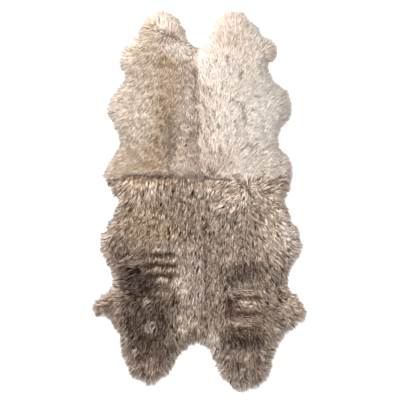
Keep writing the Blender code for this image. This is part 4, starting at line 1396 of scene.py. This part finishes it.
# %% Wool and undercoat finishes
FIBRE_FINENESS = 900.0
FIBRE_TONE = 0.35
FIBRE_RELIEF, FIBRE_RELIEF_DEPTH = 0.5, 0.0006
WOOL_GLOSS = 0.12
WOOL_SHEEN, WOOL_SHEEN_ROUGHNESS = 0.04, 0.45
TIP_SHARE = {"upper_left": 0.40, "upper_right": 0.36, "lower_left": 0.42, "lower_right": 0.42}
WARMTH = {"upper_left": 0.07, "upper_right": 0.04, "lower_left": 0.10, "lower_right": 0.10}
# Random tone, whose dark end is partly painted shade between the locks.
TONE_AND_SHADE_SPREAD = {"upper_left": 0.42, "upper_right": 0.32, "lower_left": 1.7, "lower_right": 1.7}
ROOT_SHADE = {"upper_left": 0.84, "upper_right": 0.78, "lower_left": 0.90, "lower_right": 0.90}
# Tip colours: partly the wool's paler tips, partly painted highlight.
TIP_FROST_AND_HIGHLIGHT = {
    "upper_left": (232, 224, 218),
    "upper_right": (236, 230, 225),
    "lower_left": (206, 192, 183),
    "lower_right": (208, 195, 186),
}
# The undercoat is darkened as a root is: dirt, and painted shade between the locks.
DOWN_SHADE = 0.84
DOWN_SPREAD = 0.42
DOWN_ALONG = 0.10


def new_finish(name):
    """A new material with its tree and shader."""
    finish = bpy.data.materials.new(name)
    finish.use_nodes = True
    return finish, finish.node_tree, finish.node_tree.nodes["Principled BSDF"]


def attribute(tree, name, output="Fac"):
    """Reads a mesh attribute in a material."""
    return add(tree, "ShaderNodeAttribute", attribute_name=name).outputs[output]


def wool_finish(name, skin, root_shade, spread, along):
    """Soft matt wool that reads its colour and tones from the mesh."""
    finish, tree, shader = new_finish(name + "_" + skin)
    threads = add(tree, "ShaderNodeGroup", node_tree=fibres)
    threads.inputs["Fineness"].default_value = FIBRE_FINENESS
    colour = add(tree, "ShaderNodeGroup", node_tree=fleece)
    feed(tree, colour.inputs["Colour"], attribute(tree, "wool_colour", "Color"))
    feed(tree, colour.inputs["Along"], attribute(tree, "along") if along is None else along)
    feed(tree, colour.inputs["Lock tone"], attribute(tree, "lock_tone"))
    feed(tree, colour.inputs["Clump tone"], attribute(tree, "clump_tone"))
    feed(tree, colour.inputs["Crease"], attribute(tree, "crease"))
    colour.inputs["Root shade"].default_value = root_shade
    colour.inputs["Tone and shade spread"].default_value = spread
    colour.inputs["Tip colour"].default_value = (*linear_colour(TIP_FROST_AND_HIGHLIGHT[skin]), 1.0)
    colour.inputs["Tip share"].default_value = TIP_SHARE[skin]
    colour.inputs["Warmth"].default_value = WARMTH[skin]
    feed(tree, colour.inputs["Fibre tone"], maths(tree, "MULTIPLY", threads.outputs["Tone"], FIBRE_TONE))
    feed(tree, shader.inputs["Base Color"], colour.outputs["Colour"])
    feed(tree, shader.inputs["Roughness"], colour.outputs["Roughness"])
    relief = add(tree, "ShaderNodeBump")
    relief.inputs["Strength"].default_value = FIBRE_RELIEF
    relief.inputs["Distance"].default_value = FIBRE_RELIEF_DEPTH
    feed(tree, relief.inputs["Height"], threads.outputs["Height"])
    feed(tree, shader.inputs["Normal"], relief.outputs["Normal"])
    shader.inputs["Specular IOR Level"].default_value = WOOL_GLOSS
    shader.inputs["Sheen Weight"].default_value = WOOL_SHEEN
    shader.inputs["Sheen Roughness"].default_value = WOOL_SHEEN_ROUGHNESS
    shader.inputs["Sheen Tint"].default_value = (*linear_colour(GROUND[skin]), 1.0)
    return finish


wool_finishes = {}
down_dirt_and_shade_finishes = {}
for skin in SKINS:
    wool_finishes[skin] = wool_finish("wool", skin, ROOT_SHADE[skin], TONE_AND_SHADE_SPREAD[skin], None)
    down_dirt_and_shade_finishes[skin] = wool_finish("down", skin, DOWN_SHADE, DOWN_SPREAD, DOWN_ALONG)
print("finishes", [finish.name for finish in wool_finishes.values()])

# %% [markdown]
# Every undercoat now grows its locks. The modifier's inputs are set by each socket's identifier before the
# tree first runs, and the evaluated result becomes a plain mesh. The locks also get a map for later baking,
# with one small cell for each lock, so that its root, side and tip each have their own place in a texture.

# %% Helpers for growing
MAP_NAME = "OFBake"
MAP_MARGIN = 0.05
MAP_SPAN = 1.0 - 2.0 * MAP_MARGIN
COLOUR_JITTER = 0.0025
# Near the open rim the wool is painted paler: painted light where the rims fade toward white.
RIM_PAINTED_LIGHT_STRENGTH = {"upper_left": 0.35, "upper_right": 0.45, "lower_left": 0.75, "lower_right": 0.70}
RIM_PAINTED_LIGHT = {
    "upper_left": (214, 199, 185),
    "upper_right": (228, 216, 207),
    "lower_left": (198, 181, 168),
    "lower_right": (216, 201, 190),
}


def run_tree(name, source, tree, values):
    """Plain mesh object that a geometry tree makes from a source object."""
    live = source.modifiers.new("nodes", "NODES")
    live.node_group = tree
    for socket in tree.interface.items_tree:
        if socket.in_out == "INPUT" and socket.name in values:
            live[socket.identifier] = values[socket.name]
    seen = source.evaluated_get(bpy.context.evaluated_depsgraph_get())
    mesh = bpy.data.meshes.new_from_object(seen)
    mesh.name = name
    source.modifiers.remove(live)
    piece = bpy.data.objects.new(name, mesh)
    bpy.context.scene.collection.objects.link(piece)
    return piece


def map_locks(mesh):
    """Lays each lock out in its own cell of a square map."""
    cell = []
    for number, face in enumerate(lock_faces):
        side = number // 2
        for corner in face:
            step = side + 0.5 if corner in (root, tip) else side + (corner != 1 + side)
            along = MAP_MARGIN + MAP_SPAN * lock_along[corner]
            cell.append((MAP_MARGIN + MAP_SPAN * step / LOCK_SIDES, along))
    cell = np.array(cell)
    count = len(mesh.vertices) // len(lock_places)
    wide = math.ceil(math.sqrt(count))
    corners = np.column_stack([np.arange(count) % wide, np.arange(count) // wide])
    places = (corners[:, None, :] + cell[None]) / wide
    layer = mesh.uv_layers.new(name=MAP_NAME)
    layer.data.foreach_set("uv", places.reshape(-1).astype(np.float32))
    return count


def colour_locks(skin, mesh, seed):
    """Writes the wool colour, with painted light near the rim, and the crease that each lock's points show
    where they lie.
    """
    plan = places_of(mesh)[:, :2]
    chance = np.random.default_rng(seed).normal(0.0, COLOUR_JITTER, (len(plan) // len(lock_places), 2))
    plan = plan + np.repeat(chance, len(lock_places), axis=0)
    colours = wool_colours(plan, PATCHES)
    shown = plan.reshape(-1, len(lock_places), 2)[:, root + 1:].mean(axis=1)
    colours = add_patches(colours, np.repeat(shown, len(lock_places), axis=0), TUFTS)
    rim = np.empty(len(plan))
    mesh.attributes["rim"].data.foreach_get("value", rim)
    # Painted light: the wool near the open rim is blended toward a paler tint.
    colours += (linear_colour(RIM_PAINTED_LIGHT[skin]) * FIBRE_GAIN - colours) * (RIM_PAINTED_LIGHT_STRENGTH[skin] * rim)[:, None]
    colours = within_limit(colours)
    shades = np.column_stack([colours, np.ones(len(colours))]).astype(np.float32)
    mesh.attributes["wool_colour"].data.foreach_set("color", shades.ravel())
    mesh.attributes["crease"].data.foreach_set("value", crease_depth(plan).astype(np.float32))


print("map", MAP_NAME, "rim tints", len(RIM_PAINTED_LIGHT))

# %% Growing the locks
LOCKS_WANTED = {"upper_left": 28500, "upper_right": 28500, "lower_left": 29500, "lower_right": 29500}
LOCK_WIDTH = {"upper_left": 0.0024, "upper_right": 0.0023, "lower_left": 0.0026, "lower_right": 0.0026}
LOCK_CLEARANCE = 0.0002
CLUMP_SIZE = {"upper_left": 0.0062, "upper_right": 0.0060, "lower_left": 0.0074, "lower_right": 0.0074}
CLUMP_STRAY = {"upper_left": 0.13, "upper_right": 0.13, "lower_left": 0.16, "lower_right": 0.16}
CLUMP_PULL, CLUMP_GATHER, LOCK_STRAY = 0.93, 0.2, 0.05
SWAY = {"upper_left": 0.006, "upper_right": 0.004, "lower_left": 0.008, "lower_right": 0.008}
DROOP = 0.16
ROOT_DEPTH = -0.004
WOOL_CEILING = 0.068
FIRST_SEED, SEED_STRIDE = 7, 20
JITTER_SEED = 51

wools = {}
for order, skin in enumerate(SKINS):
    area = shoelace(fleece_edges[skin])
    crowding = 1.0 + RIM_CROWD * RIM_BAND * len(open_rim(skin)[0]) * EDGE_PITCH / area
    values = {
        "Lock": lock,
        "Locks per square metre": LOCKS_WANTED[skin] / (area * crowding),
        "Lock width": LOCK_WIDTH[skin],
        "Clumps per square metre": 1.0 / CLUMP_SIZE[skin] ** 2,
        "Clump pull": CLUMP_PULL,
        "Clump gather": CLUMP_GATHER,
        "Stray": LOCK_STRAY,
        "Clump stray": CLUMP_STRAY[skin],
        "Sway": SWAY[skin],
        "Droop": DROOP,
        "Root depth": ROOT_DEPTH,
        "Floor": FLEECE_BASE + LOCK_CLEARANCE,
        "Ceiling": WOOL_CEILING,
        "Seed": FIRST_SEED + SEED_STRIDE * order,
        "Finish": wool_finishes[skin],
    }
    wools[skin] = run_tree("wool_" + skin, undercoats[skin], wool_locks, values)
    count = map_locks(wools[skin].data)
    colour_locks(skin, wools[skin].data, JITTER_SEED + order)
    undercoats[skin].data.materials.append(down_dirt_and_shade_finishes[skin])
    print(skin, "locks", count, "triangles", count * len(lock_faces))

# %% [markdown]
# Suede is the flesh side of the hide, scraped and buffed to a short even nap. It is pale and a little
# cloudy, with a fine grain. A photographed texture would repeat over a skin this wide, so the clouds of its
# colour and the grain of its relief come from noise at two scales.

# %% Hide finish
SUEDE = (205, 184, 160)
SUEDE_SHADE = (172, 148, 122)
SUEDE_CLOUDS, SUEDE_DETAIL, SUEDE_CONTRAST = 9.0, 5.0, 0.62
SUEDE_FINENESS = 1400.0
SUEDE_RELIEF, SUEDE_RELIEF_DEPTH = 0.35, 0.0004
SUEDE_ROUGHNESS, SUEDE_ROUGHNESS_SPREAD = 0.83, 0.1
SUEDE_SHEEN = 0.3

suede, suede_tree, suede_shader = new_finish("suede")
suede_place = add(suede_tree, "ShaderNodeTexCoord").outputs["Object"]
clouds = add(suede_tree, "ShaderNodeTexNoise")
feed(suede_tree, clouds.inputs["Vector"], suede_place)
clouds.inputs["Scale"].default_value = SUEDE_CLOUDS
clouds.inputs["Detail"].default_value = SUEDE_DETAIL
clouds.inputs["Roughness"].default_value = SUEDE_CONTRAST
suede_mix = add(suede_tree, "ShaderNodeMix", data_type="RGBA")
feed(suede_tree, suede_mix.inputs["Factor"], clouds.outputs["Fac"])
suede_mix.inputs[COLOUR_ONE].default_value = (*linear_colour(SUEDE_SHADE), 1.0)
suede_mix.inputs[COLOUR_TWO].default_value = (*linear_colour(SUEDE), 1.0)
feed(suede_tree, suede_shader.inputs["Base Color"], suede_mix.outputs[COLOUR_MIXED])
suede_nap = add(suede_tree, "ShaderNodeGroup", node_tree=fibres)
suede_nap.inputs["Fineness"].default_value = SUEDE_FINENESS
suede_relief = add(suede_tree, "ShaderNodeBump")
suede_relief.inputs["Strength"].default_value = SUEDE_RELIEF
suede_relief.inputs["Distance"].default_value = SUEDE_RELIEF_DEPTH
feed(suede_tree, suede_relief.inputs["Height"], suede_nap.outputs["Height"])
feed(suede_tree, suede_shader.inputs["Normal"], suede_relief.outputs["Normal"])
rougher = maths(suede_tree, "MULTIPLY", clouds.outputs["Fac"], SUEDE_ROUGHNESS_SPREAD)
feed(suede_tree, suede_shader.inputs["Roughness"], maths(suede_tree, "ADD", rougher, SUEDE_ROUGHNESS))
suede_shader.inputs["Sheen Weight"].default_value = SUEDE_SHEEN
for hide in hides.values():
    hide.data.materials.append(suede)
print("suede on", len(hides), "hides")

# %% [markdown]
# Furriers join skins edge to edge with a whip stitch on the flesh side. Each stitch is one short bar of
# thread across the seam, slightly slanted. A texture could draw them, but then they would not stand out
# in slanting light. So Geometry Nodes set one copied bar at every step of the seams, which are read
# from the places where two hides' cut edges meet.

# %% Seam lines
SEAM_PAIRS = (("upper_left", "upper_right"), ("lower_left", "lower_right"),
              ("upper_left", "lower_left"), ("upper_right", "lower_right"))


def seam_between(first, second):
    """Points half-way between two hides where they meet, in order."""
    gaps, near = distances(fine_edges[first], fine_edges[second])
    meets = gaps < SEAM_REACH
    start = int(np.argmin(meets)) if not meets.all() else 0
    order = [(start + i) % len(meets) for i in range(len(meets))]
    return np.array([(fine_edges[first][i] + fine_edges[second][near[i]]) / 2.0 for i in order if meets[i]])


seams = [seam_between(*pair) for pair in SEAM_PAIRS]
lengths = [np.linalg.norm(np.diff(line, axis=0), axis=1).sum() for line in seams]
print("seam lengths", np.round(lengths, 3))

# %% Geometry tree of the stitches
THREAD_SIDES = 6
THREAD_SEGMENTS = 3


def stitch_tree():
    """Geometry tree that sets slanted bars of thread along a line."""
    tree = bpy.data.node_groups.new("seam_stitches", "GeometryNodeTree")
    plan = tree.interface
    plan.new_socket("Seam", in_out="INPUT", socket_type="NodeSocketGeometry")
    for name in ("Step", "Reach", "Thread radius", "Slant"):
        plan.new_socket(name, in_out="INPUT", socket_type="NodeSocketFloat")
    plan.new_socket("Finish", in_out="INPUT", socket_type="NodeSocketMaterial")
    plan.new_socket("Stitches", in_out="OUTPUT", socket_type="NodeSocketGeometry")
    given = add(tree, "NodeGroupInput").outputs
    line = add(tree, "GeometryNodeMeshToCurve")
    feed(tree, line.inputs["Mesh"], given["Seam"])
    marks = add(tree, "GeometryNodeCurveToPoints", mode="LENGTH")
    feed(tree, marks.inputs["Curve"], line.outputs["Curve"])
    feed(tree, marks.inputs["Length"], given["Step"])
    bar = add(tree, "GeometryNodeMeshCylinder", fill_type="TRIANGLE_FAN")
    bar.inputs["Vertices"].default_value = THREAD_SIDES
    bar.inputs["Side Segments"].default_value = THREAD_SEGMENTS
    feed(tree, bar.inputs["Radius"], given["Thread radius"])
    feed(tree, bar.inputs["Depth"], given["Reach"])
    turn = add(tree, "FunctionNodeAlignRotationToVector", axis="X")
    feed(tree, turn.inputs["Vector"], marks.outputs["Tangent"])
    tilt = add(tree, "FunctionNodeRotateRotation", rotation_space="LOCAL")
    feed(tree, tilt.inputs["Rotation"], turn.outputs["Rotation"])
    lie = add(tree, "FunctionNodeEulerToRotation")
    spin = add(tree, "ShaderNodeCombineXYZ")
    spin.inputs["X"].default_value = math.pi / 2.0
    feed(tree, spin.inputs["Z"], given["Slant"])
    feed(tree, lie.inputs[0], spin.outputs[0])
    feed(tree, tilt.inputs["Rotate By"], lie.outputs[0])
    set_bars = add(tree, "GeometryNodeInstanceOnPoints")
    feed(tree, set_bars.inputs["Points"], marks.outputs["Points"])
    feed(tree, set_bars.inputs["Instance"], bar.outputs["Mesh"])
    feed(tree, set_bars.inputs["Rotation"], tilt.outputs["Rotation"])
    real = add(tree, "GeometryNodeRealizeInstances")
    feed(tree, real.inputs["Geometry"], set_bars.outputs["Instances"])
    finish = add(tree, "GeometryNodeSetMaterial")
    feed(tree, finish.inputs["Geometry"], real.outputs["Geometry"])
    feed(tree, finish.inputs["Material"], given["Finish"])
    feed(tree, add(tree, "NodeGroupOutput").inputs[0], finish.outputs["Geometry"])
    return tree


whip_stitches = stitch_tree()
print("stitch tree nodes", len(whip_stitches.nodes))

# %% [markdown]
# Furriers sew with waxed thread, which is a dull off-white. One noise between a darker and a paler tone is
# enough for a thread under a millimetre thick.

# %% Thread finish
THREAD_FINENESS = 2200.0
THREAD_DARK = (176, 160, 138)
THREAD_PALE = (226, 214, 196)
THREAD_ROUGHNESS = 0.6

thread, thread_tree, thread_shader = new_finish("waxed_thread")
thread_nap = add(thread_tree, "ShaderNodeGroup", node_tree=fibres)
thread_nap.inputs["Fineness"].default_value = THREAD_FINENESS
thread_mix = add(thread_tree, "ShaderNodeMix", data_type="RGBA")
feed(thread_tree, thread_mix.inputs["Factor"], thread_nap.outputs["Height"])
thread_mix.inputs[COLOUR_ONE].default_value = (*linear_colour(THREAD_DARK), 1.0)
thread_mix.inputs[COLOUR_TWO].default_value = (*linear_colour(THREAD_PALE), 1.0)
feed(thread_tree, thread_shader.inputs["Base Color"], thread_mix.outputs[COLOUR_MIXED])
thread_shader.inputs["Roughness"].default_value = THREAD_ROUGHNESS
print("finish", thread.name)

# %% Stitches
STITCH_STEP = 0.006
STITCH_REACH = 0.0042
STITCH_SLANT = 24.0
THREAD_RADIUS = 0.0004
SEAM_LIFT = 0.0001

seam_form = bmesh.new()
for line in seams:
    points = [seam_form.verts.new((x, y, THREAD_RADIUS + SEAM_LIFT)) for x, y in line]
    for first, second in zip(points[:-1], points[1:]):
        seam_form.edges.new((first, second))
seam_mesh = bpy.data.meshes.new("seam_lines")
seam_form.to_mesh(seam_mesh)
seam_form.free()
seam_source = bpy.data.objects.new("seam_lines", seam_mesh)
bpy.context.scene.collection.objects.link(seam_source)
stitches = run_tree("seam_stitches", seam_source, whip_stitches, {
    "Step": STITCH_STEP, "Reach": STITCH_REACH, "Thread radius": THREAD_RADIUS,
    "Slant": math.radians(STITCH_SLANT), "Finish": thread})
bpy.data.objects.remove(seam_source)
print("stitch faces", len(stitches.data.polygons))

# %% [markdown]
# The pieces are now handed to the frame. A hide, its undercoat and its wool together stand for their solid,
# which stays in the physics. Everything rides on the rug's one body, because nothing on a rug turns on a
# joint.

# %% Handing the pieces to the frame
bpy.data.objects.remove(lock)
for skin in SKINS:
    node = "skin_" + skin
    for piece in (hides[skin], undercoats[skin], wools[skin]):
        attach(piece, "root")
        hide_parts(node)
    width, length = np.ptp(edges[skin], axis=0)
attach(stitches, "root")
print("solids replaced", ["skin_" + skin for skin in SKINS])
